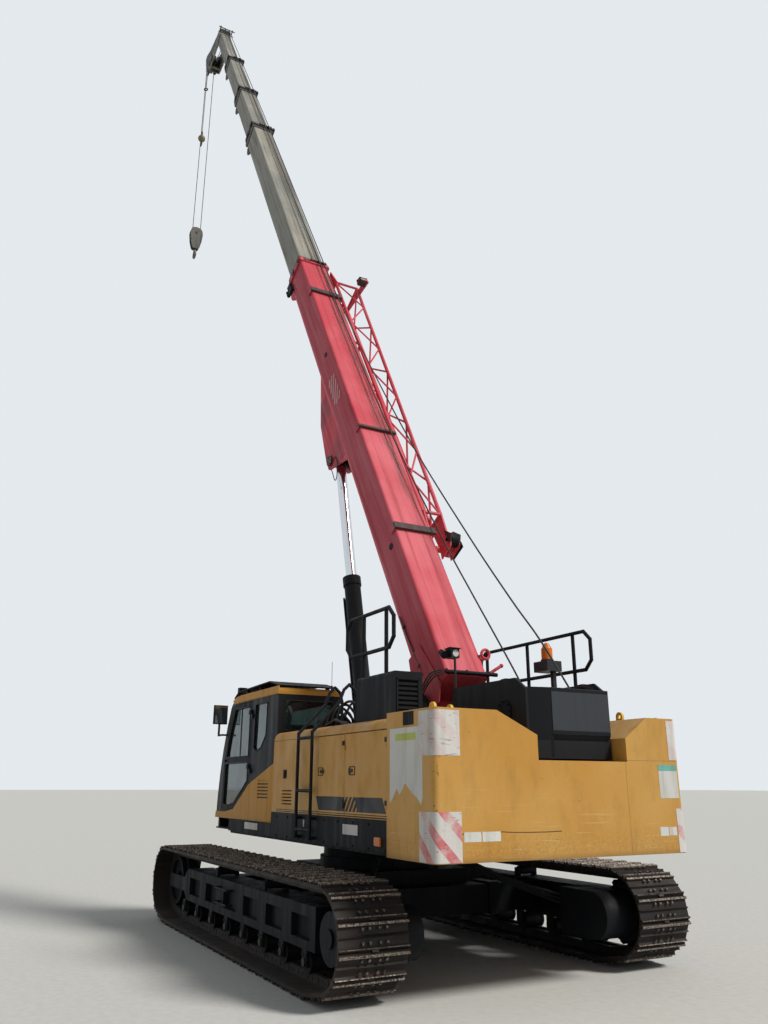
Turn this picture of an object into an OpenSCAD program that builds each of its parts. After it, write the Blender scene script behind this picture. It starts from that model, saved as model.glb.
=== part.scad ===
// Telescopic crawler crane. Millimetres, +X forward, +Y to the cab side, +Z up.
// The origin is on the ground under the slewing axis.

/* [Tracks] */
// Distance between the centre lines of the two tracks
gauge = 2996; // [2800:20:3200]
// Width of a track shoe
shoe_w = 600; // [500:20:620]
// Distance from the drive sprocket to the idler
wheel_base = 4740; // [4400:20:5000]
// Length of track that lies flat on the ground
flat_l = 4200; // [3800:20:4300]
// Height of the sprocket and idler centres
wheel_z = 460; // [440:5:480]
// Radius of the shoe plates' inner face round a sprocket or idler
belt_r = 370; // [350:5:380]
// Number of shoes on a track
shoe_n = 58; // [54:1:62]
// Thickness of a shoe plate
plate_t = 14; // [10:1:20]
// Height of the grouser bars on a shoe
grouser_h = 26; // [16:1:36]
// Height of the chain links inside the shoes
link_h = 90; // [80:2:100]
// Distance that the tracks' middle lies ahead of the slewing axis
track_mid = 40; // [-100:10:100]
// Width of the track frame's beam
frame_w = 300; // [260:10:340]
// Height of the underside of the track frame
frame_z0 = 300; // [280:5:320]
// Height of the top of the track frame
frame_z1 = 640; // [600:5:660]
// Number of bottom rollers on a side
roller_n = 8; // [6:1:9]

/* [Centre frame] */
// Length of the box between the cross beams
body_l = 1700; // [1400:20:2000]
// Width of the box
body_w = 1240; // [1100:20:1400]
// Width of a cross beam
beam_w = 260; // [200:10:320]
// Distance of a cross beam from the tracks' middle
beam_x = 950; // [800:10:1100]
// Outer radius of the slewing ring
slew_r = 620; // [560:10:680]

/* [Upper structure] */
// Height of the underside of the deck and counterweight
deck_z = 1044; // [1030:2:1060]
// Thickness of the deck's floor
floor_t = 46; // [30:2:60]
// Half width over the side panels
side_y = 1268; // [1220:4:1300]
// Height of the top of the side panels
hood_z = 2140; // [2100:5:2160]
// Height of the black skirt under the side panels
skirt_z = 1320; // [1280:5:1360]
// Thickness of the side panels
panel_t = 25; // [15:1:40]
// Front face of the counterweight, behind the slewing axis
cw_front = 2510; // [2480:5:2560]
// Rear face of the counterweight, behind the slewing axis
cw_rear = 3250; // [3200:5:3400]
// Half width of the counterweight
cw_y = 1289; // [1270:1:1300]
// Height of the top of the counterweight
cw_z = 2168; // [2120:4:2220]

/* [Cab] */
// Rear wall of the cab, ahead of the slewing axis
cab_x0 = 140; // [120:5:200]
// Inner wall of the cab, beside the boom
cab_y0 = 460; // [440:5:480]
// Outer wall of the cab
cab_y1 = 1222; // [1180:2:1240]
// Height of the cab floor's underside
cab_z0 = 1200; // [1180:5:1240]
// Height of the cab roof
cab_z1 = 2650; // [2600:5:2680]
// Thickness of the cab's walls
cab_t = 45; // [30:1:60]

/* [Boom] */
// Angle of the boom above level
boom_a = 60; // [60:1:60]
// Foot pin, ahead of the slewing axis
foot_x = -1400; // [-1440:5:-1360]
// Height of the foot pin
foot_z = 2300; // [2260:5:2340]
// Width of the base section
base_w = 500; // [480:2:510]
// Height of the base section
base_h = 570; // [560:2:580]
// Height of the base section's top above the foot pin
base_top = 550; // [540:2:560]
// Distance from the foot pin to the base section's end
base_l = 8750; // [8600:10:8900]
// Wall of the base section
wall = 10; // [8:1:12]
// Gap between one section's wall and the next section
sec_gap = 17; // [15:1:20]
// Exposed length of the second section
out_2 = 6480; // [6400:10:6560]
// Exposed length of the third, fourth and fifth sections
out_3 = 2560; // [2500:10:2620]
// Length of a collar at a section's end
collar_l = 130; // [100:5:160]

/* [Lift cylinder] */
// Cylinder's foot pin, ahead of the slewing axis
cyl_x = 115; // [95:5:135]
// Height of the cylinder's foot pin
cyl_z = 1250; // [1230:5:1270]
// Cylinder's top pin, along the boom from the foot pin
lug_s = 4500; // [4460:10:4540]
// Depth of the cylinder's top pin below the foot pin's line
lug_h = 440; // [430:2:450]
// Radius of the cylinder's barrel
barrel_r = 107; // [100:1:115]
// Radius of the cylinder's rod
rod_r = 72; // [65:1:80]
// Length of the barrel from its foot pin
barrel_l = 3025; // [2925:25:3025]
// Distance from the middle to the inner face of a lug plate under the boom
lug_y = 130; // [126:1:136]
// Thickness of a lug plate
lug_t = 30; // [25:1:36]

/* [Hoist] */
// Radius of the sheaves at the boom head, to the rope's centre
sheave_r = 240; // [210:5:250]
// Height of fall from the head sheave to the hook block
fall_l = 5880; // [5400:20:6200]
// Radius of the hoist rope
rope_r = 9; // [7:0.5:11]
// Radius of the winch drums' flanges
drum_r = 255; // [230:5:265]

/* [Hidden] */
$fn = 48;
eps = 0.3;
ochre = "#c08a2c";
black = "#1c1d20";
dark_steel = "#3a342f";
red = "#c8414a";
weathered = "#9c9a8c";
chrome = "#c9cdd2";

// Simple shapes
module box(lo, hi) {
    translate(lo) cube(hi - lo);
}
module y_plate(pts, y0, y1) {
    translate([0, y1, 0]) rotate([90, 0, 0]) linear_extrude(y1 - y0) polygon(pts);
}
module x_prism(pts, x0, x1) {
    translate([x0, 0, 0]) rotate([90, 0, 90]) linear_extrude(x1 - x0) polygon(pts);
}
module y_cyl(x, z, r, y0, y1, fn = 48) {
    translate([x, y1, z]) rotate([90, 0, 0]) cylinder(r = r, h = y1 - y0, $fn = fn);
}
module bar(p, q, r, fn = 24) {
    d = q - p;
    l = norm(d);
    translate(p) rotate([0, acos(d[2] / l), atan2(d[1], d[0])]) cylinder(r = r, h = l, $fn = fn);
}
module chain_of_bars(pts, r, fn = 24) {
    for (i = [0 : len(pts) - 2]) bar(pts[i], pts[i + 1], r, fn);
    for (i = [1 : len(pts) - 2]) translate(pts[i]) sphere(r = r * 1.06, $fn = fn);
}
module mirror_y(side) {
    if (side > 0) children();
    else mirror([0, 1, 0]) children();
}

// Track belt: a point and heading for each length s along the loop, from the
// rear end of the flat run, forward along the ground, up and back over the top
belt_z = plate_t + grouser_h;
half_base = wheel_base / 2;
half_flat = flat_l / 2;
ramp_dx = half_base - half_flat;
ramp_dz = wheel_z - belt_z;
ramp_d = norm([ramp_dx, ramp_dz]);
ramp_l = sqrt(pow(ramp_d, 2) - pow(belt_r, 2));
ramp_a = atan2(ramp_dz, ramp_dx) - asin(belt_r / ramp_d);
arc_l = belt_r * (180 - ramp_a) * PI / 180;
s_ramp = flat_l;
s_front = s_ramp + ramp_l;
s_top = s_front + arc_l;
s_rear = s_top + wheel_base;
s_down = s_rear + arc_l;
belt_l = s_down + ramp_l;
track_y = gauge / 2;
idler_x = track_mid + half_base;
sprocket_x = track_mid - half_base;

function round_end(x, a) = [x + belt_r * sin(a), wheel_z - belt_r * cos(a), a];
function belt(s) =
    s < s_ramp ? [track_mid - half_flat + s, belt_z, 0]
    : s < s_front ? [track_mid + half_flat + (s - s_ramp) * cos(ramp_a),
                     belt_z + (s - s_ramp) * sin(ramp_a), ramp_a]
    : s < s_top ? round_end(idler_x, ramp_a + (s - s_front) / arc_l * (180 - ramp_a))
    : s < s_rear ? [idler_x - (s - s_top), wheel_z + belt_r, 180]
    : s < s_down ? round_end(sprocket_x, 180 + (s - s_rear) / arc_l * (180 - ramp_a))
    : [track_mid - half_flat - (belt_l - s) * cos(ramp_a),
       belt_z + (belt_l - s) * sin(ramp_a), 360 - ramp_a];
function inside(p, v) = [p[0] - v * sin(p[2]), p[1] + v * cos(p[2])];
// Number of straight steps round a wheel
arc_n = 14;
belt_keys = concat([0, s_ramp - 0.01],
    [for (k = [0 : arc_n]) s_front + k * (arc_l - 0.01) / arc_n],
    [for (k = [0 : arc_n]) s_rear + k * (arc_l - 0.01) / arc_n]);
function belt_ring(v) = [for (s = belt_keys) inside(belt(s), v)];

// One shoe's outer profile: [share of the pitch, height over the plate's inner face]
shoe_profile = [
    [-0.50, 2], [-0.45, belt_z], [-0.37, belt_z], [-0.33, plate_t],
    [-0.05, plate_t], [0, belt_z - 6], [0.05, plate_t],
    [0.34, plate_t], [0.42, belt_z]
];
function shoe_points(i) =
    let (a = belt(i * belt_l / shoe_n),
         b = belt(i == shoe_n - 1 ? 0 : (i + 1) * belt_l / shoe_n),
         d = [b[0] - a[0], b[1] - a[1]],
         m = [a[0] + b[0], a[1] + b[1]] / 2,
         t = d / norm(d),
         n = [t[1], -t[0]])
    [for (q = shoe_profile) m + d * q[0] + n * q[1]];
shoe_in = 15;
rail_w = 40;
rail_y = 75;

module track() {
    color(dark_steel) {
        difference() {
            y_plate([for (i = [0 : shoe_n - 1]) each shoe_points(i)],
                    track_y - shoe_w / 2, track_y + shoe_w / 2);
            y_plate(belt_ring(shoe_in), track_y - shoe_w, track_y + shoe_w);
        }
        for (s = [-1, 1]) difference() {
            y_plate(belt_ring(shoe_in - 5), track_y + s * rail_y - rail_w / 2,
                    track_y + s * rail_y + rail_w / 2);
            y_plate(belt_ring(link_h), track_y + s * rail_y - rail_w,
                    track_y + s * rail_y + rail_w);
        }
    }
}

// Wheels that the belt runs round
tread_r = (belt_r - link_h) * cos((180 - ramp_a) / arc_n / 2) - eps;
sprocket_n = 21;
tooth_r = belt_r - shoe_in - 10;
root_r = tooth_r - 42;
hub_r = 165;
cover_r = 195;
function gear(n, r0, r1) =
    [for (i = [0 : n - 1]) for (q = [[0, r0], [0.3, r0], [0.45, r1], [0.85, r1]])
        let (a = (i + q[0]) * 360 / n) [q[1] * cos(a), q[1] * sin(a)]];

module sprocket() {
    color(black) translate([sprocket_x, track_y, wheel_z]) rotate([90, 0, 0]) {
        translate([0, 0, -25]) linear_extrude(50) polygon(gear(sprocket_n, root_r, tooth_r));
        translate([0, 0, -60]) cylinder(r = hub_r, h = 60 + frame_w / 2 - 2);
        translate([0, 0, -190]) cylinder(r = cover_r, h = 140);
        translate([0, 0, -210]) cylinder(r = 70, h = 40);
    }
}
module idler() {
    color(black) translate([idler_x, track_y, wheel_z]) rotate([90, 0, 0]) difference() {
        union() {
            cylinder(r = tread_r, h = 190, center = true);
            cylinder(r = tread_r + 50, h = 70, center = true);
            cylinder(r = 45, h = frame_w, center = true);
        }
        for (s = [-1, 1]) translate([0, 0, s * 95]) difference() {
            cylinder(r = tread_r - 45, h = 70, center = true);
            cylinder(r = 95, h = 80, center = true);
        }
    }
}

// Rollers with their brackets, seated on the track frame
roller_r = 75;
roller_z = belt_z + link_h + eps + roller_r;
roller_span = flat_l - 620;
// A carrier roller fills the height between the frame's top and the rails, less a gap
carrier_r = (wheel_z + belt_r - link_h - eps - frame_z1 - 12) / 2;
carrier_z = wheel_z + belt_r - link_h - eps - carrier_r;
carrier_x = 720;
module rollers() {
    color(black) {
        for (i = [0 : roller_n - 1]) {
            x = track_mid - roller_span / 2 + i * roller_span / (roller_n - 1);
            y_cyl(x, roller_z, roller_r, track_y - 105, track_y + 105, 32);
            for (s = [-1, 1]) {
                y = track_y + s * 112;
                y_cyl(x, roller_z, roller_r + 14, y - 10, y + 10, 32);
                box([x - 50, track_y + s * 135 - 15, roller_z - 35],
                    [x + 50, track_y + s * 135 + 15, frame_z0]);
            }
        }
        for (i = [-1, 1]) {
            x = track_mid + i * carrier_x;
            y_cyl(x, carrier_z, carrier_r, track_y - 100, track_y + 100, 32);
            for (s = [-1, 1])
                box([x - 40, track_y + s * 112 - 12, frame_z1],
                    [x + 40, track_y + s * 112 + 12, carrier_z + carrier_r * 0.6]);
        }
    }
}

// Track frame: a beam with pockets, a fork for the idler, a drive plate and
// the drive motor's rounded guard on the inner side
beam_x0 = sprocket_x + belt_r;
beam_x1 = idler_x - belt_r - 280;
fork_t = 40;
guard_r = 205;
guard_y = 960;
module track_frame() {
    y0 = track_y - frame_w / 2;
    y1 = track_y + frame_w / 2;
    pocket_l = 400;
    pocket_n = 6;
    step = (beam_x1 - beam_x0) / pocket_n;
    color(black) {
        difference() {
            y_plate([[beam_x0, frame_z0], [beam_x1, frame_z0], [beam_x1 + 120, frame_z0 + 90],
                     [beam_x1 + 120, frame_z1 - 90], [beam_x1, frame_z1], [beam_x0, frame_z1]], y0, y1);
            for (i = [0 : pocket_n - 1]) {
                x = beam_x0 + step * (i + 0.5);
                box([x - pocket_l / 2, y1 - 60, frame_z0 + 70], [x + pocket_l / 2, y1 + 10, frame_z1 - 90]);
            }
        }
        for (y = [y0, y1 - fork_t]) difference() {
            box([beam_x1 + 60, y, wheel_z - 75], [idler_x + 95, y + fork_t, wheel_z + 75]);
            y_cyl(idler_x, wheel_z, 45 + eps, y - 10, y + fork_t + 10);
        }
        difference() {
            union() {
                y_cyl(sprocket_x, wheel_z, 250, y0, y0 + 60);
                box([sprocket_x, y0, frame_z0], [beam_x0 + 10, y0 + 60, frame_z1]);
            }
            y_cyl(sprocket_x, wheel_z, hub_r + eps, y0 + 2, y0 + 80);
        }
        difference() {
            union() {
                y_cyl(sprocket_x, wheel_z, guard_r, guard_y, y0 + 1);
                box([sprocket_x, guard_y, wheel_z - guard_r],
                    [beam_x0 + 60, y0 + 1, wheel_z + guard_r]);
            }
            box([sprocket_x + 150, guard_y + 20, wheel_z - guard_r + 20],
                [beam_x0 + 80, y0 - 60, wheel_z + guard_r - 20]);
        }
    }
}

// Centre frame with its cross beams and the slewing ring
beam_z0 = 350;
beam_z1 = 620;
module car_body() {
    body_z1 = 760;
    flange_t = 40;
    y_end = track_y - frame_w / 2;
    color(black) {
        difference() {
            union() {
                box([track_mid - body_l / 2, -body_w / 2, 400],
                    [track_mid + body_l / 2, body_w / 2, body_z1]);
                for (s = [-1, 1]) {
                    x = track_mid + s * beam_x;
                    box([x - beam_w / 2, flange_t - y_end, beam_z0],
                        [x + beam_w / 2, y_end - flange_t, beam_z1]);
                    for (t = [-1, 1]) {
                        y = t * (y_end - flange_t / 2);
                        box([x - beam_w / 2 - 40, y - flange_t / 2, frame_z0 + 20],
                            [x + beam_w / 2 + 40, y + flange_t / 2, frame_z1 - 10]);
                        box([x - beam_w / 2 - 30, t * 780 - 60, beam_z0 - 20],
                            [x + beam_w / 2 + 30, t * 780 + 60, beam_z1 + 20]);
                    }
                }
                translate([0, 0, body_z1 - 20]) cylinder(r = slew_r + 40, h = 120, $fn = 96);
            }
            translate([0, 0, 500]) cylinder(r = slew_r - 190, h = 600, $fn = 96);
        }
    }
    color(dark_steel) translate([0, 0, body_z1 + 100]) difference() {
        cylinder(r = slew_r, h = deck_z - body_z1 - 100, $fn = 96);
        translate([0, 0, -1]) cylinder(r = slew_r - 110, h = 400, $fn = 96);
    }
}

// Deck: floor, skirts, the boom's cheeks and the lift cylinder's bracket
deck_top = deck_z + floor_t;
deck_x1 = 1500;
cheek_y = 290;
cheek_t = 40;
foot_pin_r = 55;
cyl_pin_r = 50;
cyl_ear_y = 120;
cyl_ear_t = 40;
skirt_t = 30;
module deck() {
    color(black) {
        box([-cw_front, -side_y + skirt_t, deck_z], [deck_x1, side_y - skirt_t, deck_top]);
        for (s = [-1, 1]) {
            y = s * (side_y - skirt_t / 2);
            box([-cw_front, y - skirt_t / 2, deck_z + 26], [cab_x0 - 30, y + skirt_t / 2, skirt_z]);
            box([cab_x0 - 30, y - skirt_t / 2, deck_z + 26], [deck_x1, y + skirt_t / 2, cab_z0 - eps]);
        }
        box([deck_x1, cab_y0, deck_z + 30], [2120, cab_y1, deck_top]);
        for (x = [cab_x0 + 40, 1100, 2040])
            box([x, cab_y0 + 20, deck_top], [x + 60, cab_y1 - 20, cab_z0 - eps]);
        for (s = [-1, 1]) mirror_y(s) difference() {
            union() {
                y_plate([[1350, deck_top], [1350, 1260], [500, 1420], [-450, 1560],
                         [foot_x + 290, foot_z - 150], [foot_x + 170, foot_z + 70],
                         [foot_x - 170, foot_z + 70], [foot_x - 330, foot_z - 120],
                         [foot_x - 350, deck_top]], cheek_y, cheek_y + cheek_t);
                y_cyl(foot_x, foot_z, 180, cheek_y, cheek_y + cheek_t);
            }
            y_cyl(foot_x, foot_z, foot_pin_r + eps, cheek_y - 5, cheek_y + cheek_t + 5);
        }
        for (s = [-1, 1]) mirror_y(s) difference() {
            union() {
                y_plate([[cyl_x - 260, deck_top], [cyl_x + 260, deck_top],
                         [cyl_x + 100, cyl_z], [cyl_x - 100, cyl_z]], cyl_ear_y, cyl_ear_y + cyl_ear_t);
                y_cyl(cyl_x, cyl_z, 100, cyl_ear_y, cyl_ear_y + cyl_ear_t);
            }
            y_cyl(cyl_x, cyl_z, cyl_pin_r + eps, cyl_ear_y - 5, cyl_ear_y + cyl_ear_t + 5);
        }
        box([-520, -cheek_y, deck_top], [-480, cheek_y, 1500]);
        box([-1710, -cheek_y, deck_top], [-1670, cheek_y, 2000]);
        box([1310, -cheek_y, deck_top], [1350, cheek_y, 1240]);
    }
}

// Counterweight: its notch lies right of the middle, behind the winches
cw_left = [693, 295];
cw_right = [-934, -666];
cw_shoulder = 1986;
cw_notch = 1789;
module counterweight() {
    r = 45;
    color(ochre) intersection() {
        x_prism([[-cw_y, deck_z], [cw_y, deck_z], [cw_y, cw_z], [cw_left[0], cw_z],
                 [cw_left[1], cw_shoulder], [cw_left[1], cw_notch], [cw_right[1], cw_notch],
                 [cw_right[1], cw_shoulder], [cw_right[0], cw_z], [-cw_y, cw_z]], -cw_rear, -cw_front);
        union() {
            box([-cw_rear + r, -cw_y - 1, deck_z - 1], [-cw_front + 1, cw_y + 1, cw_z + 1]);
            box([-cw_rear, -cw_y + r, deck_z - 1], [-cw_front + 1, cw_y - r, cw_z + 1]);
            for (s = [-1, 1]) translate([-cw_rear + r, s * (cw_y - r), deck_z - 1])
                cylinder(r = r, h = cw_z - deck_z + 2);
        }
    }
    color(ochre) for (p = [[-2640, 740], [-2780, 1000], [-2780, -1080]])
        translate([p[0], p[1], cw_z]) lifting_eye();
}
module lifting_eye() {
    rotate([90, 0, 0]) translate([0, 0, -12]) difference() {
        union() {
            translate([0, 45, 0]) cylinder(r = 42, h = 24);
            translate([-42, 0, 0]) cube([84, 45, 24]);
        }
        translate([0, 45, -1]) cylinder(r = 20, h = 26);
    }
}

// Engine: one plain block in the right side house
module engine() {
    color("#555555") box([-2250, -1190, deck_top], [-1150, -hood_y0r - panel_t - 30, 1780]);
}

// Side houses
hood_y0 = 480;
hood_y0r = 675;
hood_r = 90;
roof_y = side_y - hood_r;
door_gap = 6;
// Service doors in the left house: [rear edge, front edge]
doors = [[-1660, -1090], [-2480, -1690]];
door_z0 = skirt_z + 12;
door_z1 = hood_z - hood_r - 12;
knuckle_r = 8;
knuckle_z = [door_z0 + 60, door_z1 - 140];
function hood_profile(t, y0) = concat(
    [[side_y - t, skirt_z - (t > 0 ? 40 : 0)]],
    [for (a = [0 : 15 : 90]) [roof_y + (hood_r - t) * cos(a), hood_z - hood_r + (hood_r - t) * sin(a)]],
    [[y0 + t, hood_z - t], [y0 + t, skirt_z - (t > 0 ? 40 : 0)]]);
module hood_shell(x0, x1, y0) {
    difference() {
        x_prism(hood_profile(0, y0), x0, x1);
        x_prism(hood_profile(panel_t, y0), x0 + panel_t, x1 - panel_t);
    }
    box([x0, y0, deck_top], [x1, y0 + panel_t, skirt_z + 1]);
    for (x = [x0, x1 - panel_t])
        box([x, y0, deck_top], [x + panel_t, side_y - skirt_t, skirt_z + 1]);
}
module hood_left() {
    x0 = -cw_front + eps;
    x1 = cab_x0 - 40;
    color(ochre) difference() {
        hood_shell(x0, x1, hood_y0);
        for (d = doors) box([d[0] - door_gap, side_y - 60, door_z0 - door_gap],
                            [d[1] + door_gap, side_y + 10, door_z1 + door_gap]);
        for (i = [0 : 4]) box([-440, side_y - 60, 1400 + i * 32], [-180, side_y + 10, 1412 + i * 32]);
    }
    color(black) for (d = doors) for (z = knuckle_z) {
        translate([d[0] - 3, side_y + 9, z]) cylinder(r = knuckle_r, h = 40);
        box([d[0] - door_gap - 16, side_y - 2, z], [d[0] - 3, side_y + 12, z + 40]);
    }
}
module service_door(i) {
    d = doors[i];
    color(ochre) difference() {
        box([d[0], side_y - panel_t, door_z0], [d[1], side_y, door_z1]);
        box([d[1] - 150, side_y - 6, 1690], [d[1] - 60, side_y + 1, 1740]);
    }
    color(black) box([d[1] - 140, side_y - 6, 1700], [d[1] - 70, side_y + 4, 1730]);
    color(black) for (z = knuckle_z) {
        translate([d[0] - 3, side_y + 9, z + 40 + eps]) cylinder(r = knuckle_r, h = 40);
        box([d[0] - 3, side_y - 2, z + 40 + eps], [d[0] + 30, side_y + 12, z + 80]);
    }
}
module hood_right() {
    x0 = -cw_front + eps;
    x1 = -520;
    color(ochre) mirror([0, 1, 0]) difference() {
        hood_shell(x0, x1, hood_y0r);
        for (k = [0, 1]) for (i = [0 : 7])
            box([-2300 + k * 950, side_y - 60, 1420 + i * 50],
                [-1600 + k * 950, side_y + 10, 1438 + i * 50]);
    }
    tank_z = 1760;
    color(ochre) box([x1 + 4, -side_y, skirt_z], [1300, -hood_y0, tank_z]);
    color(black) box([x1 + 4, -side_y + skirt_t, deck_top], [1300, -hood_y0, skirt_z - eps]);
    color(black) translate([900, -900, tank_z]) cylinder(r = 70, h = 60);
}

// Black box with a grille on the left house
box_x0 = -2285;
box_x1 = -1600;
box_y0 = 800;
box_y1 = 1120;
box_z = 2565;
module cooler_box() {
    color(black) difference() {
        union() {
            box([box_x0, box_y0, hood_z], [box_x1, box_y1 - 40, box_z - 40]);
            box([box_x0, box_y0, hood_z], [box_x1, box_y1, box_z - 40]);
            box([box_x0, box_y0, hood_z], [box_x1, box_y1 - 40, box_z]);
            translate([box_x0, box_y1 - 40, box_z - 40]) rotate([0, 90, 0])
                cylinder(r = 40, h = box_x1 - box_x0);
        }
        for (i = [0 : 6])
            box([box_x0 - 1, box_y0 + 50, box_z - 350 + i * 42],
                [box_x0 + 30, box_y1 - 70, box_z - 332 + i * 42]);
    }
}

// Cab: outline of its side wall, [x, z], from the floor's front corner
cab_side = [
    [2150, cab_z0], [2130, 1450], [2085, 1720], [2010, 2010], [1900, 2290], [1780, 2530],
    [1700, 2600], [1560, 2640], [1380, cab_z1], [cab_x0 + 40, cab_z1], [cab_x0, cab_z1 - 40],
    [cab_x0, cab_z0]
];
function shrunk(pts, t) = [for (i = [0 : len(pts) - 1])
    let (n = len(pts), a = pts[(i + n - 1) % n], b = pts[i], c = pts[(i + 1) % n],
         u = (b - a) / norm(b - a), v = (c - b) / norm(c - b),
         w = [-u[1] - v[1], u[0] + v[0]], k = 2 / (w * w))
    b + w * k * t];
// Door, side glass and lower panel outlines on the left wall
door_outline = [[985, 1610], [1480, 1325], [1790, 1290], [1955, 1320], [1930, 1800], [1840, 2150],
                [1660, 2500], [1590, 2555], [985, 2555]];
quarter_window = [[480, 2500], [855, 2500], [880, 2010], [800, 1965], [640, 2010], [500, 2140]];
module cab_shell() {
    color(black) difference() {
        union() {
            difference() {
                y_plate(cab_side, cab_y0, cab_y1);
                y_plate(shrunk(cab_side, cab_t), cab_y0 + cab_t, cab_y1 - cab_t);
            }
        }
        y_plate(shrunk(door_outline, -5), cab_y1 - cab_t - 10, cab_y1 + 10);
        y_plate(quarter_window, cab_y1 - cab_t - 10, cab_y1 + 10);
        y_plate([[300, 2500], [1540, 2500], [1800, 1960], [300, 1960]], cab_y0 - 10, cab_y0 + cab_t + 10);
        box([cab_x0 - 10, cab_y0 + 100, 2180], [cab_x0 + cab_t + 10, cab_y1 - 80, 2500]);
        y_plate([[1700, 2510], [2300, 2510], [2300, 1560], [2040, 1560], [1960, 1900]],
                cab_y0 + 90, cab_y1 - 90);
        box([1000, cab_y0 + 200, cab_z1 - cab_t - 10], [1350, cab_y1 - 200, cab_z1 + 10]);
    }
    cab_hinge_halves();
    color(ochre) difference() {
        y_plate([[cab_x0, cab_z0 + 2], [2146, cab_z0 + 2], [2130, 1275], [1790, 1275], [1470, 1312],
                 [955, 1600], [cab_x0, 1830]], cab_y1 - 1, cab_y1 + 14);
        for (i = [0 : 5]) box([325, cab_y1 + 4, 1450 + i * 36], [655, cab_y1 + 20, 1466 + i * 36]);
    }
    color(ochre)
        y_plate([[1700, 2606], [1560, 2648], [1380, 2660], [cab_x0 - 10, 2660], [cab_x0 - 10, 2575],
                 [1500, 2580]], cab_y1 - 1, cab_y1 + 14);
}
cab_hinge_x = 975;
cab_hinge_y = cab_y1 + 18;
cab_hinge_r = 14;
cab_hinge_z = [1720, 2350];
module cab_hinge_halves() {
    color(black) for (z = cab_hinge_z) {
        translate([cab_hinge_x, cab_hinge_y, z]) cylinder(r = cab_hinge_r, h = 50);
        box([cab_hinge_x - 60, cab_y1 - 3, z], [cab_hinge_x, cab_hinge_y + 8, z + 50]);
    }
}
module cab_door() {
    t = cab_t - 5;
    inner = shrunk(door_outline, 62);
    color(black) difference() {
        y_plate(door_outline, cab_y1 - t, cab_y1 - eps);
        y_plate([[1060, 1925], [1850, 1925], [1790, 2120], [1610, 2470], [1570, 2495], [1060, 2495]],
                cab_y1 - t - 5, cab_y1 + 5);
        y_plate([[1060, 1640], [1500, 1385], [1780, 1350], [1890, 1370], [1870, 1840], [1060, 1840]],
                cab_y1 - t - 5, cab_y1 + 5);
    }
    color(black) box([1860, cab_y1 - 3, 1870], [1905, cab_y1 + 22, 1895]);
    color(black) for (z = cab_hinge_z) {
        translate([cab_hinge_x, cab_hinge_y, z + 50 + eps]) cylinder(r = cab_hinge_r, h = 50);
        box([cab_hinge_x, cab_y1 + 1, z + 50 + eps], [cab_hinge_x + 60, cab_hinge_y + 8, z + 100]);
        box([cab_hinge_x + 20, cab_y1 - 3, z + 50 + eps], [cab_hinge_x + 60, cab_y1 + 2, z + 100]);
    }
}
module cab_interior() {
    floor_z = cab_z0 + cab_t;
    seat_y = (cab_y0 + cab_y1) / 2;
    color("#26282b") {
        box([560, seat_y - 200, floor_z], [1140, seat_y + 200, floor_z + 260]);
        hull() {
            translate([600, seat_y - 210, floor_z + 258]) cube([520, 420, 92]);
            translate([620, seat_y - 190, floor_z + 258]) cube([480, 380, 122]);
        }
        hull() {
            translate([520, seat_y - 200, floor_z + 300]) cube([110, 400, 145]);
            translate([400, seat_y - 180, floor_z + 950]) cube([80, 360, 60]);
        }
    }
    color(black) {
        for (y = [seat_y - 270, seat_y + 270]) {
            box([700, y - 45, floor_z], [1180, y + 45, floor_z + 480]);
            bar([1120, y, floor_z + 480], [1150, y, floor_z + 700], 14);
            translate([1152, y, floor_z + 715]) sphere(r = 30, $fn = 24);
        }
        box([1720, seat_y - 260, floor_z], [1960, seat_y + 260, floor_z + 60]);
        box([1560, cab_y0 + cab_t + 5, floor_z], [1760, cab_y0 + cab_t + 65, floor_z + 820]);
    }
}
module roof_guard() {
    z = cab_z1 + 12;
    color(black) {
        y_plate([[480, z + 70], [1560, z + 50], [1720, z - 20], [1720, z - 8], [1564, z + 62],
                 [480, z + 84]], cab_y0 + 20, cab_y1 - 10);
        y_plate([[cab_x0 + 20, z - 4], [480, z + 70], [480, z + 84], [cab_x0 + 10, z + 10]],
                cab_y0 + 20, cab_y1 - 10);
        for (p = [[300, 45], [880, 70], [1330, 60]]) for (y = [cab_y0 + 60, cab_y1 - 90])
            box([p[0], y, cab_z1], [p[0] + 40, y + 40, z + p[1]]);
        box([1600, cab_y1 - 130, z + 40], [1650, cab_y1 - 100, z + 80]);
        box([1640, cab_y1 - 150, z + 62], [1720, cab_y1 - 50, z + 122]);
    }
}
module mirrors() {
    color(black) {
        box([1884, cab_y1 + eps, 2189], [1906, cab_y1 + 81, 2211]);
        box([1884, cab_y1 + 59, 2189], [2041, cab_y1 + 81, 2211]);
        box([2019, cab_y1 + 59, 2189], [2041, cab_y1 + 81, 2560]);
        box([1990, cab_y1 + 20, 2340], [2040, cab_y1 + 58, 2580]);
        box([1985, cab_y1 - 20, 2340], [2025, cab_y1 + 160, 2580]);
    }
}

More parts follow.
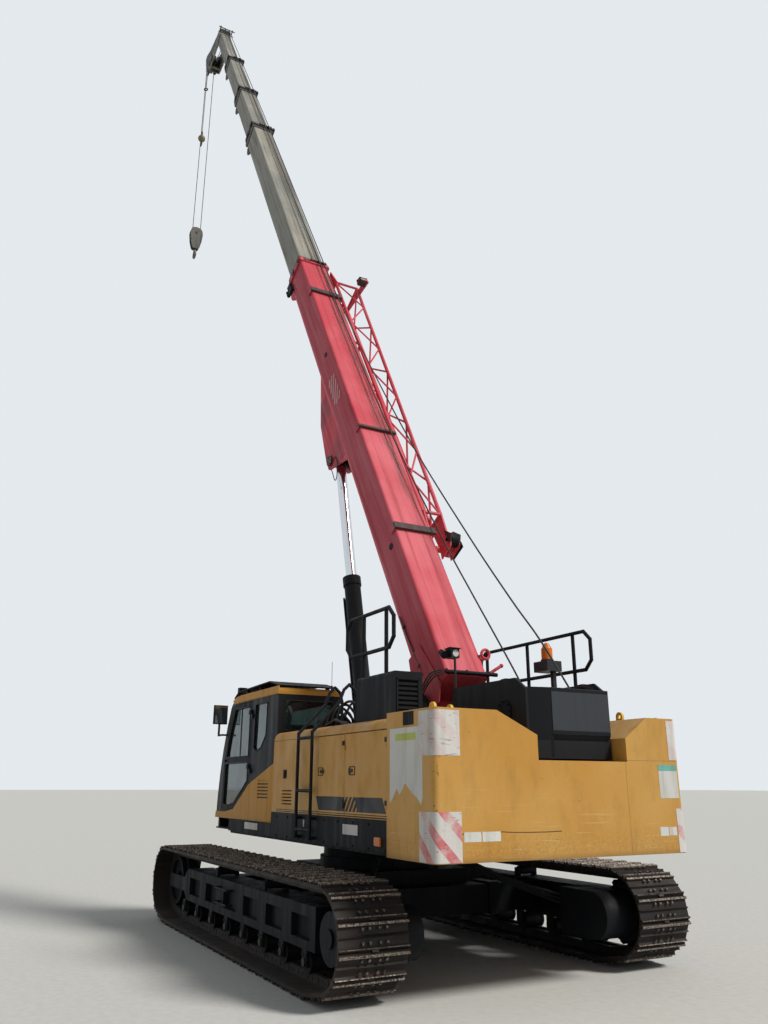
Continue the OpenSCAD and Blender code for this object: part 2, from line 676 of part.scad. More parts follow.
// Ladder of bent tube on the left side
ladder_x = [-1050, -710];
module ladder() {
    r = 16;
    y = side_y + 56;
    color(black) {
        for (x = ladder_x) {
            chain_of_bars([[x, side_y + eps, 1115], [x, y, 1115], [x, y, 2090], [x, 1035, 2385],
                           [x, 985, 2515], [x, 925, 2570], [x, 865, 2520], [x, 840, 2430],
                           [x, 840, hood_z + eps]], r, 20);
            bar([x, side_y + eps, 1290], [x, y, 1290], r, 20);
        }
        for (z = [1180, 1540, 2040]) bar([ladder_x[0], y, z], [ladder_x[1], y, z], r, 20);
    }
}
module rail_loop(x0, x1, y, z0, z1, r) {
    c = 90;
    chain_of_bars([[x0 + c, y, z0], [x1 - c, y, z0], [x1, y, z0 + c], [x1, y, z1 - c],
                   [x1 - c, y, z1], [x0 + c, y, z1], [x0, y, z1 - c], [x0, y, z0 + c],
                   [x0 + c, y, z0], [x1 - c, y, z0]], r, 20);
}
rail_y_right = 1120;
module handrails() {
    r = 19;
    color(black) {
        rail_loop(-2250, -1300, 1075, 2790, 3160, r);
        for (x = [-2110, -1660]) bar([x, 1075, box_z + eps], [x, 1075, 3160], r, 20);
        rail_loop(-2410, -500, -rail_y_right, 2710, 3100, r);
        for (x = [-2150, -1390, -620])
            bar([x, -rail_y_right, hood_z + eps], [x, -rail_y_right, 3100], r, 20);
    }
}

// Winch frame behind the boom's foot, and its two drums
winch_y0 = -645;
winch_y1 = 270;
plate_w = 25;
winch_z = 2480;
drum_axles = [[-2790, 2205], [-2170, 2140]];
axle_r = 40;
module winch_frame() {
    color(black) for (y = [winch_y0, winch_y1 - plate_w]) difference() {
        y_plate([[-cw_front + 20, deck_top], [foot_x - 370, deck_top], [foot_x - 370, foot_z - 150],
                 [foot_x - 500, foot_z - 40], [foot_x - 570, foot_z + 90], [foot_x - 590, winch_z],
                 [-2950, winch_z], [-3090, winch_z - 100], [-3090, cw_notch + 20],
                 [-cw_front + 20, cw_notch + 20]], y, y + plate_w);
        for (a = drum_axles) y_cyl(a[0], a[1], axle_r + eps, y - 5, y + plate_w + 5);
    }
    color(black) {
        box([-2460, winch_y0 + plate_w, 1500], [-2420, winch_y1 - plate_w, 1860]);
        box([-1860, winch_y0 + plate_w, 1500], [-1820, winch_y1 - plate_w, 2300]);
        box([-3090, winch_y0 + plate_w, cw_notch + 20], [-3070, winch_y1 - plate_w, 1960]);
    }
    color("#6d7072") box([-3102, winch_y0, 2010], [-3090, 0, 2400]);
}
module drum(i) {
    a = drum_axles[i];
    y0 = winch_y0 + plate_w + 12;
    y1 = winch_y1 - plate_w - 12;
    color(black) {
        y_cyl(a[0], a[1], axle_r, y0 - 30, y1 + 30);
        y_cyl(a[0], a[1], drum_r, y0, y0 + 20, 64);
        y_cyl(a[0], a[1], drum_r, y1 - 20, y1, 64);
    }
    color("#2a2623") y_cyl(a[0], a[1], drum_r - 65, y0, y1, 64);
}
module beacon_and_lamp() {
    color(black) {
        box([-2330, -720, hood_z], [-2290, -680, 2700]);
        box([-2390, -745, 2660], [-2180, -565, 2760]);
        bar([-2005, winch_y1 - plate_w / 2, winch_z + eps], [-2005, winch_y1 - plate_w / 2, 2780], 12, 16);
        box([-2017, winch_y1 - 60, 2770], [-1905, winch_y1 + 30, 2860]);
    }
    color("#e07818") translate([-2285, -655, 2760]) cylinder(r = 55, h = 130);
}

// Boom: the axis runs along +X from the foot pin, then tilts with on_boom()
module on_boom() {
    translate([foot_x, 0, foot_z]) rotate([0, -boom_a, 0]) children();
}
function boom_point(s, h) =
    [foot_x + s * cos(boom_a) - h * sin(boom_a), foot_z + s * sin(boom_a) + h * cos(boom_a)];
// Section outline [y, z]: square shoulders on top and a wide bent belly
function section(w, top, h, t) =
    let (a = w / 2 - t, z1 = top - t, z0 = top - h + t, r1 = max(30 - t, 4), r2 = w * 0.3 - t)
    concat([for (k = [0 : 3]) [a - r1 + r1 * cos(k * 30), z1 - r1 + r1 * sin(k * 30)]],
           [for (k = [0 : 3]) [-a + r1 - r1 * sin(k * 30), z1 - r1 + r1 * cos(k * 30)]],
           [for (k = [0 : 5]) [-a + r2 - r2 * cos(k * 18), z0 + r2 - r2 * sin(k * 18)]],
           [for (k = [0 : 5]) [a - r2 + r2 * sin(k * 18), z0 + r2 - r2 * cos(k * 18)]]);
// Each section steps in by the wall and the gap on every side
step_in = wall + sec_gap;
function sec_w(i) = base_w - 2 * i * step_in;
function sec_top(i) = base_top - i * step_in;
function sec_h(i) = base_h - 2 * i * step_in;
// Distance from the foot pin to the end of section i, at rest
function sec_end(i) = base_l + (i > 0 ? out_2 : 0) + max(i - 1, 0) * out_3;
sec_len = [0, 8650, 8500, 8350, 8200];
collar_t = 24;
guard_l = 400;
guard_h = 150;
guard_t = 20;
pad_l = 120;
module tube(i, x0, x1) {
    difference() {
        x_prism(section(sec_w(i), sec_top(i), sec_h(i), 0), x0, x1);
        x_prism(section(sec_w(i), sec_top(i), sec_h(i), wall), x0 - 10, x1 + 10);
    }
}
module collar(i) {
    x1 = sec_end(i);
    z0 = sec_top(i) - sec_h(i);
    difference() {
        union() {
            x_prism(section(sec_w(i) + 2 * collar_t, sec_top(i) + collar_t, sec_h(i) + 2 * collar_t, 0),
                    x1 - collar_l, x1);
            for (s = [-1, 1]) mirror_y(s)
                y_plate([[x1 - guard_l, z0 + 20], [x1, z0 + 20], [x1, z0 - guard_h * 0.6],
                         [x1 - guard_l * 0.25, z0 - guard_h], [x1 - guard_l * 0.5, z0 - guard_h],
                         [x1 - guard_l * 0.8, z0 - guard_h * 0.5]],
                        sec_w(i) * 0.3 - guard_t, sec_w(i) * 0.3);
            y_plate([[x1 - 40, z0 + 20], [x1, z0 + 20], [x1, z0 - guard_h * 0.6],
                     [x1 - 40, z0 - guard_h * 0.75]], -sec_w(i) * 0.3, sec_w(i) * 0.3);
        }
        x_prism(section(sec_w(i), sec_top(i), sec_h(i), wall), x1 - guard_l - 10, x1 + 10);
    }
    wear_pads(i);
}
// Pads inside a section's end, on which the next section slides
module wear_pads(i) {
    x1 = sec_end(i);
    y1 = sec_w(i) / 2 - wall;
    z0 = sec_top(i) - sec_h(i) + wall;
    z1 = sec_top(i) - wall;
    for (s = [-1, 1]) mirror_y(s) {
        box([x1 - pad_l, 40, z0 - 1], [x1 - 8, sec_w(i) * 0.19, z0 + sec_gap - eps]);
        box([x1 - pad_l, y1 - 150, z1 - sec_gap + eps], [x1 - 8, y1 - 50, z1 + 1]);
        box([x1 - pad_l, y1 - sec_gap + eps, z1 - 180], [x1 - 8, y1 + 1, z1 - 60]);
    }
}
eye_r = 78;
strap_s = [[2150, 90], [4030, 40], [7620, 100]];
module boom_base() {
    bottom = base_top - base_h;
    color(red) on_boom() {
        difference() {
            union() {
                tube(0, 60, base_l);
                x_prism(section(base_w - 2 * wall - 2, base_top - wall - 1, base_h - 2 * wall - 2, 0),
                        60, 80);
                for (s = [-1, 1]) mirror_y(s)
                    y_plate([[60, bottom + 8], [420, bottom + 8], [620, bottom + 60], [620, 300], [60, 430],
                             [-90, 300], [-150, 60], [-130, -60], [-30, -130], [90, -110]],
                            base_w / 2 - 1, base_w / 2 + 14);
                y_cyl(0, 0, 130, -cheek_y + 6, cheek_y - 6);
            }
            y_cyl(0, 0, foot_pin_r + eps, -400, 400);
        }
        collar(0);
        for (s = [-1, 1]) mirror_y(s) difference() {
            y_plate([[lug_s + 1600, bottom + 13], [lug_s + 780, 20 - lug_h], [lug_s + 110, -lug_h - 100],
                     [lug_s - 80, -lug_h - 100], [lug_s - 150, -lug_h], [lug_s - 420, bottom + 13]],
                    lug_y, lug_y + lug_t);
            y_cyl(lug_s, -lug_h, 50 + eps, lug_y - 5, lug_y + lug_t + 5);
        }
        for (q = strap_s) {
            box([q[0] - q[1] / 2, -base_w / 2 - 34, base_top],
                [q[0] + q[1] / 2, base_w / 2 + 20, base_top + 40]);
            for (s = [-1, 1])
                box([q[0] - q[1] / 2, s > 0 ? base_w / 2 + 1 : -base_w / 2 - 34, base_top - 90],
                    [q[0] + q[1] / 2, s > 0 ? base_w / 2 + 20 : -base_w / 2 - 1, base_top + 1]);
        }
    }
    color(dark_steel) on_boom() y_cyl(0, 0, foot_pin_r, -cheek_y - cheek_t - 12, cheek_y + cheek_t + 12);
}
module boom_section(i) {
    color(weathered) on_boom() tube(i, sec_end(i) - sec_len[i], sec_end(i));
    color(dark_steel) on_boom() collar(i);
}

// Head on the fifth section: cheeks that carry the sheaves, and a smaller
// sheave on a bracket ahead of them for the auxiliary hook's rope
head_s = sec_end(4) + 400;
head_h = -600;
head_t = 22;
head_pin_r = 42;
aux_r = 120;
aux_pin_r = 25;
aux_y = 45;
aux_s = head_s + 383;
aux_h = head_h - 321;
module boom_section_5() {
    i = 4;
    e = sec_end(i);
    y = sec_w(i) / 2;
    belly = sec_top(i) - sec_h(i);
    color(weathered) on_boom() {
        tube(i, e - sec_len[i], e);
        for (s = [-1, 1]) mirror_y(s) difference() {
            y_plate([[e - 300, sec_top(i) - 30], [e + 10, sec_top(i) - 10], [e + 110, sec_top(i) - 200],
                     [head_s + 70, head_h + 330], [head_s + 390, head_h + 60], [head_s + 380, head_h - 50],
                     [head_s + 110, head_h - 130], [head_s - 110, head_h - 150],
                     [head_s - 560, head_h - 40], [head_s - 660, head_h + 80], [e - 410, belly - 150],
                     [e - 390, belly + 60], [e - 300, belly + 120]], y, y + head_t);
            y_cyl(head_s, head_h, head_pin_r + eps, 0, 400);
        }
        box([e - 60, -y + 1, sec_top(i) - 1], [e - 10, y - 1, sec_top(i) + 60]);
        y_cyl(head_s + 330, head_h + 10, 28, -y - head_t, y + head_t, 24);
        y_cyl(head_s - 520, head_h + 60, 28, -y - head_t, y + head_t, 24);
    }
    color(dark_steel) on_boom() for (s = [-1, 1]) mirror_y(s) difference() {
        y_plate([[head_s + 290, head_h + 20], [head_s + 380, head_h + 30], [aux_s + 60, aux_h + 10],
                 [aux_s + 40, aux_h - 45], [aux_s - 40, aux_h - 45], [aux_s - 60, aux_h + 10]],
                aux_y, aux_y + 14);
        y_cyl(aux_s, aux_h, aux_pin_r + eps, aux_y - 5, aux_y + 20);
    }
}
// A sheave's rim with a groove for the rope
module sheave(r, w, rope = rope_r) {
    difference() {
        cylinder(r = r + rope + 7, h = w, center = true, $fn = 72);
        rotate_extrude($fn = 72) translate([r, 0]) circle(r = rope + eps, $fn = 24);
        difference() {
            cylinder(r = r + rope + 20, h = 2 * (rope + eps), center = true, $fn = 72);
            cylinder(r = r, h = 3 * rope, center = true, $fn = 72);
        }
    }
}
module head_sheaves() {
    half = sec_w(4) / 2;
    on_boom() {
        color(dark_steel) y_cyl(head_s, head_h, head_pin_r, -half - head_t - 14, half + head_t + 14);
        color(black) for (y = [-sheave_y, 0, sheave_y])
            translate([head_s, y, head_h]) rotate([90, 0, 0]) sheave(sheave_r, 50);
        color(dark_steel) y_cyl(head_s, head_h, 70, -half + 5, half - 5);
    }
}
module aux_sheave() {
    color(dark_steel) on_boom() {
        y_cyl(aux_s, aux_h, aux_pin_r, -aux_y - 22, aux_y + 22);
        y_cyl(aux_s, aux_h, 45, -aux_y + 3, aux_y - 3);
        translate([aux_s, 0, aux_h]) rotate([90, 0, 0]) sheave(aux_r, 40, aux_rope_r);
    }
}

// Jib stowed along the base section's right side: [s, y in, y out, h low, h high]
jib_ends = [[2650, -345, -600, 190, 440], [8250, -335, -740, 90, 520]];
jib_n = 9;
function jib_corner(k, f) = let (a = jib_ends[0], b = jib_ends[1], m = a + (b - a) * f)
    [m[0], k == 0 || k == 3 ? m[1] : m[2], k < 2 ? m[3] : m[4]];
module jib() {
    color(red) on_boom() {
        for (k = [0 : 3]) bar(jib_corner(k, 0), jib_corner(k, 1), 26, 12);
        for (k = [0 : 3]) for (i = [0 : jib_n - 1]) {
            a = jib_corner(i % 2 == 0 ? k : (k + 1) % 4, i / jib_n);
            b = jib_corner(i % 2 == 0 ? (k + 1) % 4 : k, (i + 1) / jib_n);
            bar(a, b, 14, 6);
        }
        for (f = [0, 1]) for (k = [0 : 3]) bar(jib_corner(k, f), jib_corner((k + 1) % 4, f), 22, 8);
        for (y = [-620, -365])
            y_plate([[2050, 280], [2150, 400], [2680, 460], [2680, 170], [2150, 200]], y, y + 22);
        y_cyl(2150, 300, 40, -620, -343);
        for (q = [strap_s[0][0] + 560, strap_s[2][0]]) {
            f = (q - jib_ends[0][0]) / (jib_ends[1][0] - jib_ends[0][0]);
            low = jib_corner(0, f);
            box([q - 40, low[1] - 20, low[2]], [q + 40, -base_w / 2 - eps, 450]);
        }
        y_plate([[8200, 90], [8300, 90], [8640, 500], [8200, 560]], -350, -325);
        y_plate([[8200, 90], [8300, 90], [8100, 820], [7950, 820]], -760, -735);
        y_cyl(8030, 760, 40, -760, -600);
    }
}

// Lift cylinder: its axis runs along +X from the foot pin, then tilts
lug_point = boom_point(lug_s, -lug_h);
cyl_a = atan2(lug_point[1] - cyl_z, lug_point[0] - cyl_x);
cyl_l = norm([lug_point[0] - cyl_x, lug_point[1] - cyl_z]);
rod_l = 2850;
barrel_bore = barrel_r - 10;
gland_l = 120;
// The barrel ends short of the rod's eye when the boom lies level
barrel_end = min(barrel_l, cyl_l - 1832);
module on_cylinder() {
    translate([cyl_x, 0, cyl_z]) rotate([0, -cyl_a, 0]) children();
}
module x_cyl(x0, x1, r, y = 0, z = 0, fn = 48) {
    translate([x0, y, z]) rotate([0, 90, 0]) cylinder(r = r, h = x1 - x0, $fn = fn);
}
module cylinder_barrel() {
    color(black) on_cylinder() {
        difference() {
            union() {
                x_cyl(100, barrel_end, barrel_r);
                x_cyl(barrel_end - gland_l, barrel_end, barrel_r + 13);
                y_cyl(0, 0, 110, -cyl_ear_y + 6, cyl_ear_y - 6);
            }
            x_cyl(150, barrel_end - gland_l, barrel_bore);
            x_cyl(barrel_end - gland_l - 1, barrel_end + 1, rod_r + eps);
        }
        y_cyl(0, 0, cyl_pin_r, -cyl_ear_y - cyl_ear_t - 10, cyl_ear_y + cyl_ear_t + 10);
        for (y = [52, 92]) {
            z = -sqrt(pow(barrel_r + 24, 2) - pow(y, 2));
            x_cyl(420, barrel_end - 260, 13, y, z, 16);
            for (x = [500, 1500, 2500])
                box([x - 20, y - 12, z], [x + 20, y + 6, z + 30]);
        }
    }
}
module cylinder_rod() {
    color(chrome) on_cylinder() {
        x_cyl(cyl_l - rod_l, cyl_l - 60, rod_r);
        x_cyl(cyl_l - rod_l, cyl_l - rod_l + 120, barrel_bore - eps);
    }
    color(black) on_cylinder() difference() {
        y_cyl(cyl_l, 0, eye_r, 20 - lug_y, lug_y - 20);
        y_cyl(cyl_l, 0, 50, -lug_y, lug_y);
    }
}

// Hoist: two falls of rope to the hook block, and an auxiliary line
sheave_y = 108;
aux_rope_r = 8;
head_point = boom_point(head_s, head_h);
aux_point = boom_point(aux_s, aux_h);
fall_x = head_point[0] + sheave_r;
block_z = head_point[1] - fall_l;
aux_x = aux_point[0] + aux_r;
aux_len = 2350;
module hoist_ropes() {
    color(black) {
        for (s = [-1, 1]) translate([fall_x, s * sheave_y, block_z])
            cylinder(r = rope_r, h = fall_l, $fn = 24);
        translate([fall_x, 0, block_z]) rotate([90, 0, 90]) rotate([0, 0, 180])
            rotate_extrude(angle = 180, $fn = 72) translate([sheave_y, 0]) circle(r = rope_r, $fn = 24);
    }
}
// A hook of bent round bar, from its shank at the top to its point
module bent_hook(r, bar_r, shank) {
    translate([0, 0, r - bar_r * 0.4]) cylinder(r = bar_r * 1.3, h = shank + bar_r * 0.4);
    rotate([90, 0, 0]) rotate([0, 0, 155]) rotate_extrude(angle = 290, $fn = 48)
        translate([r, 0]) circle(r = bar_r, $fn = 24);
}
aux_z = aux_point[1] - aux_len;
module aux_rope() {
    color(black) translate([aux_x, 0, aux_z]) cylinder(r = aux_rope_r, h = aux_len, $fn = 24);
}
module aux_hook() {
    color(black) translate([aux_x, 0, aux_z - 60]) difference() {
        cylinder(r1 = 40, r2 = 24, h = 200);
        translate([0, 0, 60 - eps]) cylinder(r = aux_rope_r + eps, h = 200, $fn = 24);
    }
    color(ochre) translate([aux_x, 0, aux_z - 110]) sphere(r = 105);
    color(dark_steel) translate([aux_x, 0, aux_z - 310]) bent_hook(60, 17, 60);
}
// Hook block: outline of a side plate, [y, height over the sheave's axis]
block_plate = [[-165, 40], [-140, 110], [-90, 152], [0, 170], [90, 152], [140, 110], [165, 40],
               [172, -60], [150, -280], [105, -470], [70, -520], [-70, -520], [-105, -470],
               [-150, -280], [-172, -60]];
block_x = 52;
block_t = 20;
module hook_block() {
    color(ochre) for (x = [fall_x - block_x - block_t, fall_x + block_x])
        translate([x, 0, block_z]) rotate([90, 0, 90]) linear_extrude(block_t) polygon(block_plate);
    color(dark_steel) {
        box([fall_x - block_x, -85, block_z - 500], [fall_x + block_x, 85, block_z - 380]);
        translate([fall_x, 0, block_z]) rotate([0, 90, 0]) {
            cylinder(r = 36, h = 2 * (block_x + block_t) + 30, center = true);
            sheave(sheave_y, 60);
        }
        for (y = [-130, 130]) translate([fall_x, y, block_z - 250]) rotate([0, 90, 0])
            cylinder(r = 16, h = 2 * (block_x + block_t) + 16, center = true);
    }
}
hook_r = 88;
hook_bar = 30;
shank_l = 110;
module hook() {
    z = block_z - 500 - eps - shank_l - hook_r;
    color(dark_steel) translate([fall_x, 0, z]) bent_hook(hook_r, hook_bar, shank_l);
}

car_body();
track_frame();  // track_frame_left
mirror([0, 1, 0]) track_frame();  // track_frame_right
track();  // track_left
mirror([0, 1, 0]) track();  // track_right
sprocket();  // sprocket_left
mirror([0, 1, 0]) sprocket();  // sprocket_right
idler();  // idler_left
mirror([0, 1, 0]) idler();  // idler_right
rollers();  // rollers_left
mirror([0, 1, 0]) rollers();  // rollers_right
deck();
counterweight();
engine();
hood_left();
hood_right();
service_door(0);  // service_door_front
service_door(1);  // service_door_rear
cooler_box();
cab_shell();
cab_door();
cab_interior();
roof_guard();
mirrors();
ladder();
handrails();
beacon_and_lamp();
winch_frame();
drum(0);  // drum_rear
drum(1);  // drum_front
boom_base();
jib();
boom_section(1);  // boom_section_2
boom_section(2);  // boom_section_3
boom_section(3);  // boom_section_4
boom_section_5();
head_sheaves();
aux_sheave();
cylinder_barrel();
cylinder_rod();
hoist_ropes();
aux_rope();
aux_hook();
hook_block();
hook();
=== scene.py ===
import math
from functools import partialmethod, reduce

import bmesh
import bpy
from mathutils import Matrix, Vector


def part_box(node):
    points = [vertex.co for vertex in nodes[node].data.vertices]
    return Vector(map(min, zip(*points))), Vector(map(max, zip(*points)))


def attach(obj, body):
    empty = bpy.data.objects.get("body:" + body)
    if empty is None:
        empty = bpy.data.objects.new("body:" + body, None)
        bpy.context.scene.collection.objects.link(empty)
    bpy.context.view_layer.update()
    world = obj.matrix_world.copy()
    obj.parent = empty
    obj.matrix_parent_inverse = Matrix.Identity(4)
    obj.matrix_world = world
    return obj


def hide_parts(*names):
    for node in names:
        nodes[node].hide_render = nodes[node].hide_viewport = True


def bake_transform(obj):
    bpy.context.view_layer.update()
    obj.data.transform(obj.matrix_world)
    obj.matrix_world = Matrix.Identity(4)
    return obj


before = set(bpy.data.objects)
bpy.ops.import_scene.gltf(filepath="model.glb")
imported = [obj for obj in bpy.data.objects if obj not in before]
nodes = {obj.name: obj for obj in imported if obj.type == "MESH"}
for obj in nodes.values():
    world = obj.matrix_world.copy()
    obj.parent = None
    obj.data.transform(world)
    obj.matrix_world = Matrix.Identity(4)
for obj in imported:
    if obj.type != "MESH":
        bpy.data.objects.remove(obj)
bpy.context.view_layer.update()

# Driving sizes, in metres, as in the part's source
FOOT = Vector((-1.4, 0, 2.3))
BOOM_ANGLE = math.radians(60)
BASE_TOP, BASE_W, BASE_H, BASE_END = 0.55, 0.5, 0.57, 8.75
STEP_IN = 0.027
SECTION_ENDS = [BASE_END, 15.23, 17.79, 20.35, 22.91]
BOOM_BODIES = ["boom", "section_2", "section_3", "section_4", "section_5"]
COLLAR_L, COLLAR_T = 0.13, 0.024
HEAD_S, HEAD_H, SHEAVE_R, FALL_Y = 23.31, -0.6, 0.24, 0.108
AUX_S, AUX_H, AUX_R = HEAD_S + 0.383, HEAD_H - 0.321, 0.12
ROPE_R, AUX_ROPE_R = 0.009, 0.008
ROPE_TOP = 0.047  # of the ropes over a collar
GUIDE_S, GUIDE_H = 0.035, 0.072  # of the ropes past and above the last section's end
LIFT_S, LIFT_H = 4.5, -0.44
CYLINDER_FOOT = Vector((0.115, 0, 1.25))
CYLINDER_ANGLE = math.radians(76.716)
CYLINDER_L = 4.857
SIDE_Y = 1.268
HOOD_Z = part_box("hood_left")[1].z
CAB_X0, CAB_Y0, CAB_Y1, CAB_Z1 = 0.14, 0.46, 1.222, 2.65
CW_SIDE, CW_REAR, CW_TOP = 1.289, -3.25, 2.168
TRACK_Y, WHEEL_Z, BELT_R, TRACK_MID, HALF_BASE = 1.498, 0.46, 0.37, 0.04, 2.37
SHOE_N, FLAT_L, BELT_Z = 58, 4.2, 0.04
ROLLER_Z, FRAME_HALF = 0.2053, 0.15
DRUM_AXLES = [Vector((-2.79, 0, 2.205)), Vector((-2.17, 0, 2.14))]
WINCH_Y = (-0.645, 0.27)
COIL_R, LEAD_R = 0.2, 0.207  # windings, and the rope that leaves them
FLANGE_R = 0.285  # over the drum's own flanges
COOLER_REAR_X = -2.285
BEACON_X, BEACON_Y, BEACON_Z = -2.285, -0.655, 2.7605

ON_BOOM = Matrix.Translation(FOOT) @ Matrix.Rotation(-BOOM_ANGLE, 4, "Y")
ON_CYLINDER = Matrix.Translation(CYLINDER_FOOT) @ Matrix.Rotation(-CYLINDER_ANGLE, 4, "Y")


def boom_point(s, y, h):
    """A point given along, across and above the boom's foot line."""
    return ON_BOOM @ Vector((s, y, h))


def section_top(i):
    return BASE_TOP - i * STEP_IN


def section_w(i):
    return BASE_W - 2 * i * STEP_IN


def rgb(r, g, b):
    """A colour written as it looks on a screen, 0 to 255."""
    def linear(v):
        v = v / 255
        return v / 12.92 if v <= 0.04045 else ((v + 0.055) / 1.055) ** 2.4
    return (linear(r), linear(g), linear(b), 1.0)


def at_depth(p, axis, t):
    """A point of an outline at depth t along x, y or z."""
    return Vector({"x": (t, *p), "y": (p[0], t, p[1]), "z": (*p, t)}[axis])


# Shapes: simple solids gathered in one mesh
class Shape:
    def __init__(self, matrix=None):
        self.bm = bmesh.new()
        self.matrix = matrix or Matrix.Identity(4)

    def box(self, lo, hi, bevel=0.0):
        lo, hi = Vector(lo), Vector(hi)
        place = Matrix.Translation((lo + hi) / 2) @ Matrix.Diagonal((hi - lo).to_4d())
        made = bmesh.ops.create_cube(self.bm, size=1, matrix=place)
        if bevel:
            edges = {e for v in made["verts"] for e in v.link_edges}
            bmesh.ops.bevel(self.bm, geom=list(edges), offset=bevel, segments=2, affect="EDGES")

    def round(self, p, q, r, sides=16, r_end=None):
        """A cylinder or cone from p to q."""
        p, q = Vector(p), Vector(q)
        turn = (q - p).to_track_quat("Z", "Y").to_matrix().to_4x4()
        bmesh.ops.create_cone(
            self.bm, cap_ends=True, segments=sides, radius1=r, radius2=r if r_end is None else r_end,
            depth=(q - p).length, matrix=Matrix.Translation((p + q) / 2) @ turn)

    def pin(self, x, z, y0, y1, r, sides=16, r_end=None):
        """A cylinder or cone across, from y0 to y1."""
        self.round((x, y0, z), (x, y1, z), r, sides, r_end)

    def ball(self, p, r, sides=16):
        bmesh.ops.create_uvsphere(
            self.bm, u_segments=sides, v_segments=sides // 2, radius=r, matrix=Matrix.Translation(p))

    def slab(self, centre, along, across, size):
        """A box turned so that its length and width follow two directions."""
        up = along.cross(across)
        turn = Matrix((along, across, up)).transposed().to_4x4()
        bmesh.ops.create_cube(
            self.bm, size=1, matrix=Matrix.Translation(centre) @ turn @ Matrix.Diagonal((*size, 1)))

    def ring(self, centre, axis, r, thick, sides=24, rim=8):
        centre, axis = Vector(centre), Vector(axis)
        turn = axis.to_track_quat("Z", "Y")
        path = [centre + turn @ Vector((r * math.cos(a), r * math.sin(a), 0)) for a in around(sides)]
        self.tube(path, thick, rim, closed=True)

    def tube(self, points, r, sides=8, closed=False):
        """A round bar along the points."""
        points = [Vector(p) for p in points]
        n = len(points)
        rings = []
        side = None
        for i, p in enumerate(points):
            before = points[i - 1] if i or closed else p
            after = points[(i + 1) % n] if i < n - 1 or closed else p
            along = (after - before).normalized()
            if side is None:
                side = along.orthogonal().normalized()
            side = (side - along * side.dot(along)).normalized()
            other = along.cross(side)
            rings.append([self.bm.verts.new(p + (side * math.cos(a) + other * math.sin(a)) * r)
                          for a in around(sides)])
        spans = n if closed else n - 1
        for i in range(spans):
            a, b = rings[i], rings[(i + 1) % n]
            for k in range(sides):
                self.bm.faces.new((a[k], a[(k + 1) % sides], b[(k + 1) % sides], b[k]))
        if not closed:
            self.bm.faces.new(rings[0][::-1])
            self.bm.faces.new(rings[-1])

    def prism(self, outline, axis, lo, hi):
        """An outline pushed along x, y or z; its points are in the other two axes' order."""
        a = [self.bm.verts.new(at_depth(p, axis, lo)) for p in outline]
        b = [self.bm.verts.new(at_depth(p, axis, hi)) for p in outline]
        n = len(outline)
        self.bm.faces.new(a)
        self.bm.faces.new(b[::-1])
        for i in range(n):
            self.bm.faces.new((a[i], b[i], b[(i + 1) % n], a[(i + 1) % n]))

    def piece(self, name, body, finish, slot=None, sharp=35):
        bmesh.ops.recalc_face_normals(self.bm, faces=self.bm.faces)
        mesh = bpy.data.meshes.new(name)
        self.bm.to_mesh(mesh)
        self.bm.free()
        mesh.transform(self.matrix)
        mesh.polygons.foreach_set("use_smooth", [True] * len(mesh.polygons))
        mesh.set_sharp_from_angle(angle=math.radians(sharp))
        obj = bpy.data.objects.new(name, mesh)
        bpy.context.scene.collection.objects.link(obj)
        mesh.materials.append(M[finish])
        slot = slot or SLOTS.get(finish)
        if body:
            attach(obj, body)
        return obj


def around(n):
    """n even angles round a circle."""
    return [2 * math.pi * k / n for k in range(n)]


def smooth_path(points, steps=6):
    """A Catmull-Rom curve through the points."""
    points = [Vector(p) for p in points]
    full = [2 * points[0] - points[1], *points, 2 * points[-1] - points[-2]]
    out = []
    for i in range(1, len(full) - 2):
        a, b, c, d = full[i - 1:i + 3]
        for k in range(steps):
            t = k / steps
            out.append(0.5 * (2 * b + (c - a) * t + (2 * a - 5 * b + 4 * c - d) * t * t
                              + (3 * b - a - 3 * c + d) * t ** 3))
    return out + [points[-1]]


